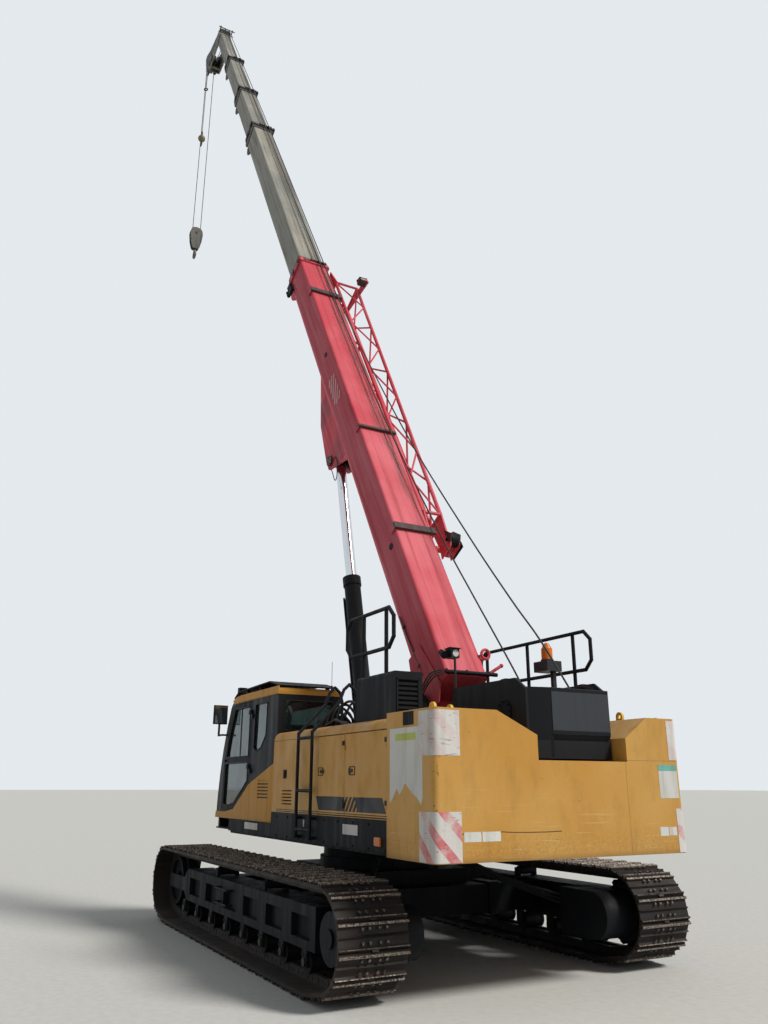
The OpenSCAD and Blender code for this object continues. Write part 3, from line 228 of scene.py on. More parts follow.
# Materials: short calls for shader nodes
class Graph:
    """The nodes of a new material, or of a world."""
    def __init__(self, name, world=None):
        self.material = world or bpy.data.materials.new(name)
        self.material.use_nodes = True
        self.tree = self.material.node_tree
        self.tree.nodes.clear()
        self.place = None if world else self.node("TexCoord").outputs["Object"]

    def node(self, kind, **settings):
        made = self.tree.nodes.new("ShaderNode" + kind)
        for key, value in settings.items():
            setattr(made, key, value)
        return made

    def feed(self, socket, value):
        if isinstance(value, bpy.types.NodeSocket):
            self.tree.links.new(value, socket)
        else:
            socket.default_value = value

    def mapped(self, place, scale):
        made = self.node("Mapping")
        self.feed(made.inputs["Vector"], place)
        made.inputs["Scale"].default_value = scale
        return made.outputs["Vector"]

    def in_frame(self, matrix):
        """Coordinates in a tilted frame, such as the boom's."""
        back = matrix.inverted()
        made = self.node("Mapping")
        self.feed(made.inputs["Vector"], self.place)
        made.inputs["Rotation"].default_value = back.to_euler()
        made.inputs["Location"].default_value = back.to_translation()
        return made.outputs["Vector"]

    def axes(self, place):
        made = self.node("SeparateXYZ")
        self.feed(made.inputs[0], place)
        return made.outputs

    def noise(self, place, scale, detail=4.0, rough=0.55, twist=0.0):
        made = self.node("TexNoise")
        self.feed(made.inputs["Vector"], place)
        made.inputs["Scale"].default_value = scale
        made.inputs["Detail"].default_value = detail
        made.inputs["Roughness"].default_value = rough
        made.inputs["Distortion"].default_value = twist
        return made.outputs["Fac"]

    def wave(self, place, scale, twist=0.0, direction="DIAGONAL"):
        made = self.node("TexWave", bands_direction=direction)
        self.feed(made.inputs["Vector"], place)
        made.inputs["Scale"].default_value = scale
        made.inputs["Distortion"].default_value = twist
        return made.outputs["Fac"]

    def math(self, operation, a, b=0.0):
        made = self.node("Math", operation=operation)
        self.feed(made.inputs[0], a)
        self.feed(made.inputs[1], b)
        return made.outputs[0]

    above = partialmethod(math, "GREATER_THAN")
    below = partialmethod(math, "LESS_THAN")
    plus = partialmethod(math, "ADD")
    minus = partialmethod(math, "SUBTRACT")
    times = partialmethod(math, "MULTIPLY")
    most = partialmethod(math, "MAXIMUM")

    def rise(self, value, lo, hi, top=1.0):
        """0 below lo and top above hi."""
        made = self.node("MapRange")
        self.feed(made.inputs["Value"], value)
        made.inputs["From Min"].default_value = lo
        made.inputs["From Max"].default_value = hi
        made.inputs["To Max"].default_value = top
        return made.outputs["Result"]

    def inside(self, value, lo, hi):
        return self.times(self.above(value, lo), self.below(value, hi))

    def all_of(self, *masks):
        return reduce(self.times, masks)

    def mix(self, factor, a, b):
        made = self.node("Mix", data_type="RGBA")
        self.feed(made.inputs["Factor"], factor)
        self.feed(made.inputs["A"], a)
        self.feed(made.inputs["B"], b)
        return [s for s in made.outputs if s.type == "RGBA"][0]

    def finish(self, colour, rough=0.5, metallic=0.0, height=None, relief=0.002, strength=0.4, **fixed):
        shader = self.node("BsdfPrincipled")
        self.feed(shader.inputs["Base Color"], colour)
        self.feed(shader.inputs["Roughness"], rough)
        self.feed(shader.inputs["Metallic"], metallic)
        for key, value in fixed.items():
            shader.inputs[key.replace("_", " ")].default_value = value
        if height is not None:
            bump = self.node("Bump")
            bump.inputs["Distance"].default_value = relief
            bump.inputs["Strength"].default_value = strength
            self.feed(bump.inputs["Height"], height)
            self.feed(shader.inputs["Normal"], bump.outputs["Normal"])
        out = self.node("OutputMaterial")
        self.feed(out.inputs["Surface"], shader.outputs[0])
        return self.material


class Paint(Graph):
    """Weathered paint: faded patches, streaks of dirt, speckle and scratches."""
    def __init__(self, name, base, faded, dirt, streak=(4, 4, 0.35), dirty=0.55, tilt=None, worn=0.0,
                 bare=rgb(96, 74, 60)):
        super().__init__(name)
        self.local = self.in_frame(tilt) if tilt else self.place
        self.patches = self.noise(self.local, 0.9, 5)
        self.grain = self.noise(self.local, 55, 4, 0.7)
        self.streaks = self.noise(self.mapped(self.local, streak), 2.6, 6, 0.62)
        self.colour = self.mix(self.rise(self.patches, 0.38, 0.64), base, faded)
        self.cover(self.rise(self.streaks, 0.5, 0.78, dirty), dirt)
        self.cover(self.rise(self.grain, 0.56, 0.8, dirty * 0.7), dirt)
        if worn:
            chips = self.noise(self.local, 17, 7, 0.75, 0.6)
            self.cover(self.rise(chips, 0.66, 0.7, worn), bare)

    def cover(self, mask, colour):
        self.colour = self.mix(mask, self.colour, colour)

    def done(self, rough=(0.38, 0.7), metallic=0.0, relief=0.0012, strength=0.35, gloss=0.35, **fixed):
        made = self.node("MapRange")
        self.feed(made.inputs["Value"], self.streaks)
        made.inputs["From Min"].default_value = 0.35
        made.inputs["From Max"].default_value = 0.7
        made.inputs["To Min"].default_value = rough[0]
        made.inputs["To Max"].default_value = rough[1]
        return self.finish(self.colour, made.outputs["Result"], metallic, self.grain, relief, strength,
                           Specular_IOR_Level=gloss, **fixed)


OCHRE, OCHRE_FADED, OCHRE_DIRT_AND_SHADE = rgb(196, 143, 62), rgb(204, 158, 84), rgb(120, 88, 48)
BLACK, BLACK_FADED, BLACK_DIRT = rgb(13, 15, 19), rgb(24, 27, 32), rgb(50, 46, 41)
RED, RED_FADED, RED_DIRT = rgb(204, 62, 76), rgb(222, 100, 112), rgb(96, 52, 50)
GREY, GREY_FADED, GREY_DIRT = rgb(134, 134, 127), rgb(162, 158, 146), rgb(82, 74, 60)
# the first colour serves for dark seams and for painted shade in the gap between cab and hood
DARK_SEAM_AND_SHADE, BARE = rgb(46, 40, 37), rgb(176, 146, 92)
PINSTRIPES = ((1.327, 1.336), (1.345, 1.353))  # heights of the thin lines along the side


def ochre(name="ochre_paint"):
    return Paint(name, OCHRE, OCHRE_FADED, OCHRE_DIRT_AND_SHADE, streak=(3, 3, 1.2), dirty=0.26, worn=0.3)


def black(name="black_paint"):
    return Paint(name, BLACK, BLACK_FADED, BLACK_DIRT, dirty=0.3, worn=0.2)


def stripes(g, x, z):
    """The slanting black band along the side, and the slashes in it."""
    slant = g.plus(x, g.times(g.minus(z, 1.43), -0.55))
    band = g.all_of(g.inside(slant, -2.43, -1.085), g.inside(z, 1.368, 1.492))
    bars = g.math("FRACT", g.times(g.plus(x, g.times(z, 0.75)), 13.5))
    return band, g.all_of(g.inside(slant, -1.91, -1.66), g.below(bars, 0.34))


def hood_material():
    g = ochre("ochre_paint_hood")
    x, y, z = g.axes(g.place)
    side = g.above(g.math("ABSOLUTE", y), 1.2)
    band, slashes = stripes(g, x, z)
    band = g.all_of(side, band, g.above(y, 0))
    g.cover(band, BLACK)
    g.cover(g.all_of(band, slashes), OCHRE)
    for lo, hi in PINSTRIPES:
        g.cover(g.all_of(side, g.inside(z, lo, hi), g.below(x, -0.03)), BLACK)
    # painted shade: a thin dark line along the step under the hood's top lip
    g.cover(g.all_of(side, g.inside(z, HOOD_Z - 0.098, HOOD_Z - 0.091)), OCHRE_DIRT_AND_SHADE)
    g.cover(g.all_of(side, g.inside(x, -0.532, -0.526)), DARK_SEAM_AND_SHADE)
    return g.done()


def door_material():
    """Like the hood's, with its black latch and hinges."""
    g = ochre("ochre_paint_doors")
    x, y, z = g.axes(g.place)
    band, slashes = stripes(g, x, z)
    g.cover(band, BLACK)
    g.cover(g.all_of(band, slashes), OCHRE)
    for lo, hi in PINSTRIPES:
        g.cover(g.inside(z, lo, hi), BLACK)
    g.cover(g.above(y, SIDE_Y + 0.0005), BLACK)
    return g.done()


def cab_material():
    """Black cab whose roof and proud side panels are ochre."""
    g = black("black_paint_cab")
    x, y, z = g.axes(g.place)
    roof = g.above(z, 2.572)
    panel = g.most(g.above(y, CAB_Y1 + 0.0005), roof)
    hinges = g.all_of(g.inside(x, 0.9, 0.995), g.most(g.inside(z, 1.715, 1.83), g.inside(z, 2.345, 2.46)))
    g.cover(panel, OCHRE)
    g.cover(g.all_of(panel, g.rise(g.streaks, 0.55, 0.8, 0.3)), OCHRE_DIRT_AND_SHADE)
    # painted shade: a dark stripe along the cab's rear edge stands for the shaded gap between cab and hood;
    # the seam is a dark joint
    gap_shade = g.all_of(g.below(x, CAB_X0 + 0.03), g.below(z, 1.86))
    seam = g.inside(x, 0.921, 0.928)
    g.cover(g.most(gap_shade, g.all_of(panel, seam, g.below(z, 1.7))), DARK_SEAM_AND_SHADE)
    sunk = g.inside(y, CAB_Y1 + 0.001, CAB_Y1 + 0.007)
    louvres = g.all_of(g.inside(x, 0.31, 0.67), g.inside(z, 1.43, 1.62), sunk)
    g.cover(louvres, rgb(70, 52, 34))
    g.cover(g.all_of(panel, hinges), BLACK)
    return g.done(rough=(0.42, 0.7), gloss=0.2)


def counterweight_material():
    g = ochre("ochre_paint_counterweight")
    x, y, z = g.axes(g.place)
    scrape = g.noise(g.mapped(g.place, (1, 0.8, 30)), 2.2, 3, 0.5)
    low = g.rise(z, 1.7, 1.15)
    g.cover(g.all_of(g.rise(scrape, 0.64, 0.69, 0.45), low), rgb(226, 196, 140))
    scuff = g.noise(g.mapped(g.place, (1.3, 1.3, 9)), 5.5, 4, 0.6, 0.8)
    g.cover(g.rise(scuff, 0.7, 0.72, 0.6), rgb(92, 68, 40))
    flaking = g.times(g.rise(g.grain, 0.4, 0.7), g.rise(z, 1.3, 1.05))
    edge = g.most(g.rise(z, 1.1, 1.05), flaking)
    g.cover(g.times(edge, 0.5), rgb(104, 80, 50))
    rear = g.below(x, CW_REAR + 0.01)
    wander = g.plus(z, g.times(g.patches, 0.06))
    gouge = g.all_of(rear, g.inside(wander, 1.277, 1.284), g.inside(y, 0.1, 1.25))
    g.cover(gouge, rgb(70, 52, 38))
    joints = g.all_of(rear, g.inside(y, -0.646, -0.641), g.below(z, 1.79))
    level = g.all_of(rear, g.below(y, -0.641), g.inside(z, 1.799, 1.803))
    g.cover(g.times(g.most(joints, level), 0.7), OCHRE_DIRT_AND_SHADE)
    corner = g.all_of(g.below(x, CW_REAR + 0.03), g.above(y, CW_SIDE - 0.04))
    chips = g.rise(g.noise(g.place, 30, 4, 0.7), 0.58, 0.62, 0.8)
    g.cover(g.all_of(corner, chips), rgb(60, 46, 38))
    g.cover(g.above(z, CW_TOP + 0.002), rgb(228, 188, 60))
    return g.done()


def boom_material():
    """Faded red with dark grease under the ropes along the top plate."""
    g = Paint("red_paint", RED, RED_FADED, RED_DIRT, streak=(0.22, 5, 5), dirty=0.35, tilt=ON_BOOM, worn=0.2)
    s, y, h = g.axes(g.local)
    top = g.above(h, BASE_TOP - 0.012)
    web = g.above(y, BASE_W / 2 - 0.004)
    # painted shade: the +y web is darkened as the shaded side
    g.cover(g.times(web, 0.55), rgb(140, 36, 54))
    smear = g.noise(g.mapped(g.local, (0.5, 14, 1)), 3.1, 6, 0.7)
    lane = g.all_of(top, g.rise(y, 0.02, -0.1), g.rise(s, 1.2, 3.4))
    g.cover(g.all_of(lane, g.rise(smear, 0.46, 0.6, 0.85)), rgb(58, 56, 44))
    seam = g.all_of(top, g.inside(y, 0.118, 0.123), g.inside(s, 0.3, 8.5))
    g.cover(g.times(seam, 0.7), rgb(120, 30, 40))
    raised = g.all_of(g.above(h, BASE_TOP + 0.003), g.inside(s, 2.0, 7.7))
    g.cover(raised, rgb(64, 44, 42))
    lip = g.all_of(g.above(s, BASE_END - 0.02), g.above(h, -0.1))
    g.cover(lip, rgb(52, 34, 36))
    worn_lug = g.all_of(g.below(h, -0.05), g.inside(s, 4.2, 5.6), g.rise(g.patches, 0.42, 0.55))
    g.cover(g.times(worn_lug, 0.6), rgb(104, 22, 40))
    slash = g.math("FRACT", g.times(g.minus(s, g.times(h, 1.6)), 7.5))
    marks = g.all_of(web, g.inside(s, 4.95, 5.5), g.inside(h, 0.19, 0.4), g.below(slash, 0.34))
    g.cover(g.times(marks, 0.75), rgb(214, 196, 200))
    dusty = g.all_of(top, g.rise(g.noise(g.local, 22, 5, 0.7), 0.6, 0.72, 0.35))
    g.cover(dusty, rgb(150, 84, 84))
    return g.done(rough=(0.45, 0.75))


def section_material(i):
    """Weathered grey tube with a dark collar and guards."""
    g = Paint(f"grey_paint_{i + 1}", GREY, GREY_FADED, GREY_DIRT, streak=(0.25, 7, 7), dirty=0.85,
              tilt=ON_BOOM, worn=0.35, bare=rgb(88, 66, 48))
    s, y, h = g.axes(g.local)
    top, half = section_top(i), section_w(i) / 2
    stripe = g.noise(g.mapped(g.local, (0.12, 26, 1)), 1.6, 4, 0.6)
    flat = g.above(h, top - 0.01)
    g.cover(g.all_of(flat, g.rise(y, 0.08, -0.06), g.rise(stripe, 0.44, 0.56, 0.8)), rgb(62, 58, 46))
    # painted shade: bluish-grey blotches darken the +y side as the shaded side
    g.cover(g.all_of(g.above(y, half - 0.003), g.rise(g.patches, 0.4, 0.7, 0.55)),
            rgb(92, 100, 98))
    proud = g.above(g.math("ABSOLUTE", y), half + 0.001)
    for mask in (g.above(h, top + 0.001),
                 g.below(h, top - BASE_H + 2 * i * STEP_IN - 0.001)):
        proud = g.most(proud, mask)
    if i < 4:
        g.cover(proud, rgb(44, 36, 32))
    else:
        g.cover(g.times(proud, 0.5), rgb(80, 80, 76))
        # painted shade: the head's end of the last section is darkened
        g.cover(g.rise(s, SECTION_ENDS[4] - 0.06, SECTION_ENDS[4] + 0.04, 0.8), rgb(44, 42, 40))
    return g.done(rough=(0.5, 0.8))


def track_material():
    """Rusty shoes with grouser edges worn bright, and brightened further as a painted highlight."""
    g = Paint("track_paint", rgb(31, 28, 27), rgb(46, 39, 35), rgb(68, 51, 42), streak=(6, 1.2, 6),
              dirty=0.6)
    x, _, z = g.axes(g.place)
    from_middle = g.math("ABSOLUTE", g.minus(x, TRACK_MID))
    beyond = g.most(g.minus(from_middle, HALF_BASE), 0)
    rise = g.minus(z, WHEEL_Z)
    squares = g.plus(g.times(beyond, beyond), g.times(rise, rise))
    lower_run = g.all_of(g.below(from_middle, HALF_BASE), g.inside(z, 0.012, 0.2))
    tip = g.times(g.rise(g.math("SQRT", squares), 0.394, 0.403), g.minus(1.0, lower_run))
    # worn bare steel on the grouser tips, also a painted highlight; the lower run is left out
    worn_and_highlit_edges = g.times(tip, g.rise(g.grain, 0.4, 0.6))
    g.cover(worn_and_highlit_edges, rgb(168, 154, 142))
    g.cover(g.rise(g.patches, 0.55, 0.75, 0.2), rgb(96, 86, 76))
    return g.done(rough=(0.5, 0.85), metallic=g.times(worn_and_highlit_edges, 0.8), relief=0.003, strength=0.6,
                  gloss=0.25)


def steel(name, base, second, rough, metallic=0.85):
    g = Paint(name, base, second, rgb(52, 44, 38), dirty=0.5)
    return g.done(rough=rough, metallic=metallic, relief=0.0006)


def rod_material():
    """Chromed rod with its black eye."""
    g = Graph("rod_chrome")
    along = g.in_frame(ON_CYLINDER)
    s = g.axes(along)[0]
    smear = g.noise(g.mapped(along, (0.5, 12, 12)), 2, 4)
    eye = g.above(s, CYLINDER_L - 0.09)
    colour = g.mix(g.rise(smear, 0.5, 0.75, 0.5), rgb(214, 218, 222), rgb(150, 146, 138))
    colour = g.mix(eye, colour, BLACK)
    shine = g.minus(1.0, g.times(eye, 0.85))
    return g.finish(colour, g.rise(smear, 0.3, 0.8, 0.34), shine, smear, 0.0003, 0.2)


def rope_material():
    g = Graph("wire_rope")
    strands = g.wave(g.place, 26, 1.0)
    worn = g.noise(g.place, 4, 4)
    colour = g.mix(strands, rgb(16, 16, 17), rgb(52, 50, 48))
    colour = g.mix(g.rise(worn, 0.5, 0.8, 0.4), colour, rgb(84, 76, 66))
    return g.finish(colour, 0.55, 0.4, strands, 0.003, 0.8)


def block_material():
    """Hook block: dull ochre cheeks round dark steel."""
    g = Paint("block_paint", rgb(84, 81, 72), rgb(66, 66, 64), rgb(42, 38, 34), dirty=0.8, worn=0.6)
    lo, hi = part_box("hook_block")
    off = g.math("ABSOLUTE", g.minus(g.axes(g.place)[0], (lo.x + hi.x) / 2))
    g.cover(g.minus(1.0, g.inside(off, 0.0515, 0.0725)), rgb(48, 44, 42))
    return g.done()


def aux_material():
    """Auxiliary hook: dark socket, ochre ball, steel hook."""
    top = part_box("aux_hook")[1].z
    g = Paint("ball_paint", rgb(140, 124, 82), rgb(112, 108, 94), rgb(58, 52, 44), dirty=0.8, worn=0.5)
    z = g.axes(g.place)[2]
    g.cover(g.above(z, top - 0.145), rgb(34, 33, 33))
    g.cover(g.below(z, top - 0.352), rgb(60, 56, 54))
    return g.done()


def glass_material():
    g = Graph("tinted_glass")
    film = g.noise(g.mapped(g.place, (3, 3, 1)), 2, 4)
    colour = g.mix(g.rise(film, 0.4, 0.7), rgb(122, 142, 138), rgb(92, 112, 108))
    return g.finish(colour, g.rise(film, 0.5, 0.9, 0.12), 0.0, Transmission_Weight=0.9, IOR=1.45)


def plate_material():
    """Blank white plates, scuffed and dirty."""
    g = Paint("white_plate", rgb(222, 222, 216), rgb(204, 204, 200), rgb(146, 132, 110), dirty=0.5, worn=0.3,
              bare=BARE)
    return g.done()


def hazard_material():
    """White film with slanting red stripes that the sun has bleached."""
    g = Paint("hazard_film", rgb(224, 220, 216), rgb(208, 204, 200), rgb(150, 138, 120),
              dirty=0.45, worn=0.4,
              bare=BARE)
    x, y, z = g.axes(g.place)
    far_side = g.below(y, -CW_SIDE + 0.0005)
    turned = g.times(far_side, g.minus(g.times(x, 2.0), 2 * CW_REAR))
    across = g.plus(g.minus(turned, x), g.minus(z, y))
    upper = g.above(z, 1.6)
    shifted = g.plus(across, g.times(upper, 0.1))
    stripe = g.math("FRACT", g.times(g.minus(shifted, 3.14), 4.0))
    bleach = g.noise(g.place, 5, 5, 0.6)
    strength = g.minus(0.85, g.times(upper, 0.68))
    g.cover(g.all_of(g.below(stripe, 0.42), g.rise(bleach, 0.36, 0.6), strength), rgb(204, 84, 92))
    torn = g.noise(g.mapped(g.place, (2, 2, 16)), 4, 5, 0.65, 0.8)
    g.cover(g.rise(torn, 0.63, 0.66, 0.75), rgb(92, 78, 62))
    return g.done()


def lamp_material(name, base, second, glow=0.0):
    g = Graph(name)
    ribs = g.wave(g.place, 60, 0, "Z")
    colour = g.mix(ribs, base, second)
    return g.finish(colour, 0.25, 0.0, ribs, 0.001, 0.4, Transmission_Weight=0.15, Emission_Strength=glow)


def rubber_material():
    g = Graph("black_rubber")
    grain = g.noise(g.place, 40, 4)
    dust = g.noise(g.place, 2.5, 5)
    colour = g.mix(g.rise(dust, 0.5, 0.8, 0.5), rgb(16, 16, 17), rgb(52, 49, 45))
    return g.finish(colour, 0.62, 0.0, grain, 0.0008, 0.3)


def mirror_material():
    g = Graph("mirror_glass")
    dust = g.noise(g.place, 8, 4)
    return g.finish(g.mix(dust, rgb(190, 196, 200), rgb(160, 166, 170)), 0.08, 0.95)


def beacon_material():
    """Black bracket and lamp box; the beacon itself is a scene piece."""
    g = black("black_paint_lamps")
    x, _, z = g.axes(g.place)
    g.cover(g.all_of(g.above(z, BEACON_Z), g.below(x, -2.15)), rgb(226, 116, 20))
    return g.done()


def winch_material():
    g = black("black_paint_winch")
    # painted light: the rear face is painted a lighter blue-grey than the rest of the black frame, as the
    # lit face
    g.cover(g.below(g.axes(g.place)[0], -3.0902), rgb(58, 62, 67))
    return g.done(rough=(0.5, 0.8), gloss=0.2)


def seat_material():
    g = Graph("seat_cloth")
    weave = g.wave(g.place, 90, 0.5)
    patch = g.noise(g.place, 3, 3)
    colour = g.mix(g.rise(patch, 0.4, 0.6), rgb(34, 35, 38), rgb(50, 50, 54))
    return g.finish(colour, 0.85, 0.0, weave, 0.001, 0.5)


# Finishes by name, the slot that goes with each, and the carried-over nodes that wear them
M = {
    "black": black().done(rough=(0.5, 0.8), gloss=0.15),
    "hood": hood_material(), "doors": door_material(), "cab": cab_material(),
    "counterweight": counterweight_material(), "red": boom_material(), "track": track_material(),
    "rod": rod_material(), "rope": rope_material(), "block": block_material(), "ball": aux_material(),
    "glass": glass_material(), "plate": plate_material(), "hazard": hazard_material(),
    "rubber": rubber_material(), "mirror": mirror_material(), "lamps": beacon_material(),
    "winch": winch_material(), "seat": seat_material(),
    "collar": Paint("collar_paint", rgb(46, 42, 42), rgb(62, 52, 46), rgb(80, 62, 48), dirty=0.5).done(),
    "sheave": steel("sheave_steel", rgb(60, 56, 52), rgb(84, 78, 70), (0.3, 0.6)),
    "hook": steel("hook_forging", rgb(92, 88, 84), rgb(120, 114, 108), (0.35, 0.6)),
    "green": Paint("green_strip", rgb(176, 186, 72), rgb(190, 198, 100), rgb(130, 120, 80)).done(),
    "teal": Paint("teal_strip", rgb(92, 172, 160), rgb(120, 190, 178), rgb(120, 120, 100)).done(),
    "amber": lamp_material("amber_lens", rgb(226, 112, 18), rgb(240, 140, 40)),
    "lens": lamp_material("clear_lens", rgb(210, 214, 214), rgb(236, 238, 238)),
}
SLOTS = {
    "rope": "wire_rope", "rubber": "rubber", "black": "paint_black", "red": "paint_red", "glass": "glass",
    "mirror": "glass", "lens": "glass", "sheave": "machined_steel", "collar": "collar", "amber": "beacon",
    "track": "track_steel", "hook": "hook_steel",
}
FINISHES = {
    "red": ["boom_base", "jib"], "track": ["track_left", "track_right"],
    "hood": ["hood_left", "hood_right"], "doors": ["service_door_front", "service_door_rear"],
    "cab": ["cab_shell"], "counterweight": ["counterweight"], "rod": ["cylinder_rod"],
    "rope": ["hoist_ropes", "aux_rope"], "block": ["hook_block"], "ball": ["aux_hook"],
    "hook": ["hook"], "sheave": ["head_sheaves", "aux_sheave", "engine"],
    "lamps": ["beacon_and_lamp"], "winch": ["winch_frame"], "seat": ["cab_interior"],
}
worn_by = {name: M[finish] for finish, names in FINISHES.items() for name in names}
worn_by |= {f"boom_section_{i + 1}": section_material(i) for i in range(1, 5)}
for name, node in nodes.items():
    node.data.materials.clear()
    node.data.materials.append(worn_by.get(name, M["black"]))


def line(name, body, finish, points, r, sides=8):
    """A rope or hose that is a piece of its own."""
    tube = Shape()
    tube.tube(points, r, sides)
    return tube.piece(name, body, finish, sharp=80)


# Cab glass, each pane a little larger than its opening
def glazing():
    t, proud = 0.005, 0.021
    side_y = CAB_Y1 - 0.02
    rear_y0, rear_y1 = CAB_Y0 + 0.095, CAB_Y1 - 0.075
    roof_y0, roof_y1 = CAB_Y0 + 0.195, CAB_Y1 - 0.195
    panes = [
        ("door_glass_upper", "door", "y", side_y,
         [(1.055, 1.92), (1.855, 1.92), (1.796, 2.122), (1.614, 2.476), (1.572, 2.5), (1.055, 2.5)]),
        ("door_glass_lower", "door", "y", side_y,
         [(1.055, 1.638), (1.498, 1.38), (1.782, 1.344), (1.896, 1.367), (1.875, 1.845), (1.055, 1.845)]),
        ("quarter_glass", "upper", "y", side_y,
         [(0.475, 2.505), (0.86, 2.505), (0.885, 2.008), (0.801, 1.96), (0.637, 2.005), (0.495, 2.138)]),
        ("inner_side_glass", "upper", "y", CAB_Y0 + 0.02,
         [(0.295, 2.505), (1.543, 2.505), (1.806, 1.955), (0.295, 1.955)]),
        ("rear_glass", "upper", "x", CAB_X0 + 0.02,
         [(rear_y0, 2.175), (rear_y1, 2.175), (rear_y1, 2.505), (rear_y0, 2.505)]),
        ("roof_glass", "upper", "z", CAB_Z1 - 0.025,
         [(0.995, roof_y0), (1.355, roof_y0), (1.355, roof_y1), (0.995, roof_y1)]),
    ]
    for name, body, axis, at, outline in panes:
        pane = Shape()
        pane.prism(outline, axis, at - t / 2, at + t / 2)
        pane.piece(name, body, "glass")
        seal = Shape()
        face = at + (-proud if name in ("inner_side_glass", "rear_glass") else proud)
        seal.tube([at_depth(p, axis, face) for p in outline], 0.007, 6, closed=True)
        seal.piece(name + "_seal", body, "rubber", sharp=80)
    front = [(2.112, 1.56), (2.085, 1.72), (2.01, 2.01), (1.9, 2.29), (1.79, 2.51)]
    screen = Shape()
    screen.prism([(x - 0.014, z) for x, z in front] + [(x - 0.02, z) for x, z in front[::-1]], "y",
                 CAB_Y0 + 0.085, CAB_Y1 - 0.085)
    screen.piece("windscreen", "upper", "glass")
    wiper = Shape()
    wiper.tube([(2.118, 0.84, 1.6), (2.09, 0.9, 1.86), (2.02, 0.98, 2.14)], 0.008, 6)
    wiper.box((2.1, 0.8, 1.56), (2.135, 0.88, 1.62), 0.006)
    wiper.piece("wiper", "upper", "rubber")
    bar = Shape()
    bar.box((1.39, CAB_Y1 - 0.03, 1.925), (1.412, CAB_Y1 - 0.012, 2.497), 0.002)
    bar.piece("door_glass_bar", "door", "rubber")


# Ropes from the winches to the boom's head

def rope_runs():
    main = [(1.69, -0.36, 0.985), (3.45, -0.28, 0.80), (5.5, -0.21, 0.68), (7.5, -0.155, 0.63)]
    high = [(-0.009, -0.4, 1.268), (0.603, -0.39, 1.15)]
    aux = [(1.0, -0.35, 0.70), (1.76, -0.29, 0.665), (3.0, -0.2, 0.645), (5.0, -0.12, 0.63)]
    return [
        ("main_rope", 0, -0.4, (0.646, 0.763), high + main, -0.15, -FALL_Y),
        ("aux_line", 1, -0.38, (0.6, 0.8), [(-0.136, -0.4, 0.79)] + aux, -0.07, 0.0),
    ]


def ropes():
    """Each rope is cut at the collars."""
    tops = [section_top(i) + COLLAR_T + ROPE_TOP for i in range(4)] + [section_top(4) + GUIDE_H]
    ends = [s - COLLAR_L / 2 for s in SECTION_ENDS[:4]] + [SECTION_ENDS[4] + GUIDE_S]
    for name, drum, y, aim, run, y_end, y_head in rope_runs():
        axle = DRUM_AXLES[drum]
        start = Vector((axle.x - aim[1] * LEAD_R, y, axle.z + aim[0] * LEAD_R))
        first = [start] + [boom_point(*p) for p in run] + [boom_point(ends[0], y_end, tops[0])]
        piece = line(name + "_1", None, "rope", smooth_path(first), ROPE_R)
        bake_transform(piece)
        points = [boom_point(end, y_end + (y_head - y_end) * (end - ends[0]) / (ends[4] - ends[0]), top)
                  for end, top in zip(ends, tops)]
        for i, (a, b) in enumerate(zip(points, points[1:])):
            piece = line(f"{name}_{i + 2}", None, "rope", [a.lerp(b, k / 12) for k in range(13)], ROPE_R)
            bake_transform(piece)


def on_wheel(s, h, r, a, y):
    """A point on a wheel of the boom's head, at angle a from the boom's line."""
    a = math.radians(a)
    return boom_point(s + r * math.cos(a), y, h + r * math.sin(a))


def head_ropes():
    for name, s, h, r, y, turn in (("main_rope_head", HEAD_S, HEAD_H, SHEAVE_R, -FALL_Y, 32),
                                   ("aux_line_head", AUX_S, AUX_H, AUX_R, 0.0, 33)):
        start = boom_point(SECTION_ENDS[4] + GUIDE_S, y, section_top(4) + GUIDE_H)
        wrap = [on_wheel(s, h, r, turn + (-60 - turn) * k / 12, y) for k in range(13)]
        line(name, "section_5", "rope", [start, *wrap], ROPE_R if y else AUX_ROPE_R)
    wrap = [on_wheel(HEAD_S, HEAD_H, SHEAVE_R, -60 + k * 15, FALL_Y) for k in range(13)]
    fixed = boom_point(HEAD_S - 0.3, FALL_Y, HEAD_H - 0.1)
    line("main_rope_dead_end", "section_5", "rope", [*wrap, fixed], ROPE_R)
    socket = Shape(ON_BOOM)
    socket.round((HEAD_S - 0.32, FALL_Y, HEAD_H - 0.12), (HEAD_S - 0.27, FALL_Y, HEAD_H - 0.07), 0.024, 12,
                 0.014)
    socket.pin(HEAD_S - 0.33, HEAD_H - 0.1, -0.19, 0.19, 0.02, 12)
    socket.piece("rope_socket", "section_5", "hook")


def drum_coils():
    y0, y1 = WINCH_Y[0] + 0.06, WINCH_Y[1] - 0.06
    steps = 20 * int((y1 - y0) / (2 * ROPE_R))
    for name, node_name, axle in zip(("rear_drum", "front_drum"), ("drum_rear", "drum_front"), DRUM_AXLES):
        path = []
        for k in range(steps + 1):
            a = 2 * math.pi * k / 20
            y = y0 + ROPE_R + (y1 - y0 - 2 * ROPE_R) * k / steps
            path.append(axle + Vector((COIL_R * math.cos(a), y, COIL_R * math.sin(a))))
        line(name + "_winding", name, "rope", path, ROPE_R * 1.02, 6)
        lo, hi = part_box(node_name)
        rims = Shape()
        for y in (lo.y, hi.y - 0.02):
            rims.pin(axle.x, axle.z, y, y + 0.02, FLANGE_R, 48)
        rims.piece(name + "_rims", name, "collar", slot="machined_steel")
        caps = Shape()
        for inner, out in zip(WINCH_Y, (-1, 1)):
            face = inner + out * 0.012
            caps.pin(axle.x, axle.z, inner, face, 0.1, 24)
            for a in around(8):
                caps.pin(axle.x + 0.08 * math.cos(a), axle.z + 0.08 * math.sin(a), face, face + out * 0.01,
                         0.009, 6)
        caps.piece(name + "_bearing_caps", "upper", "black")


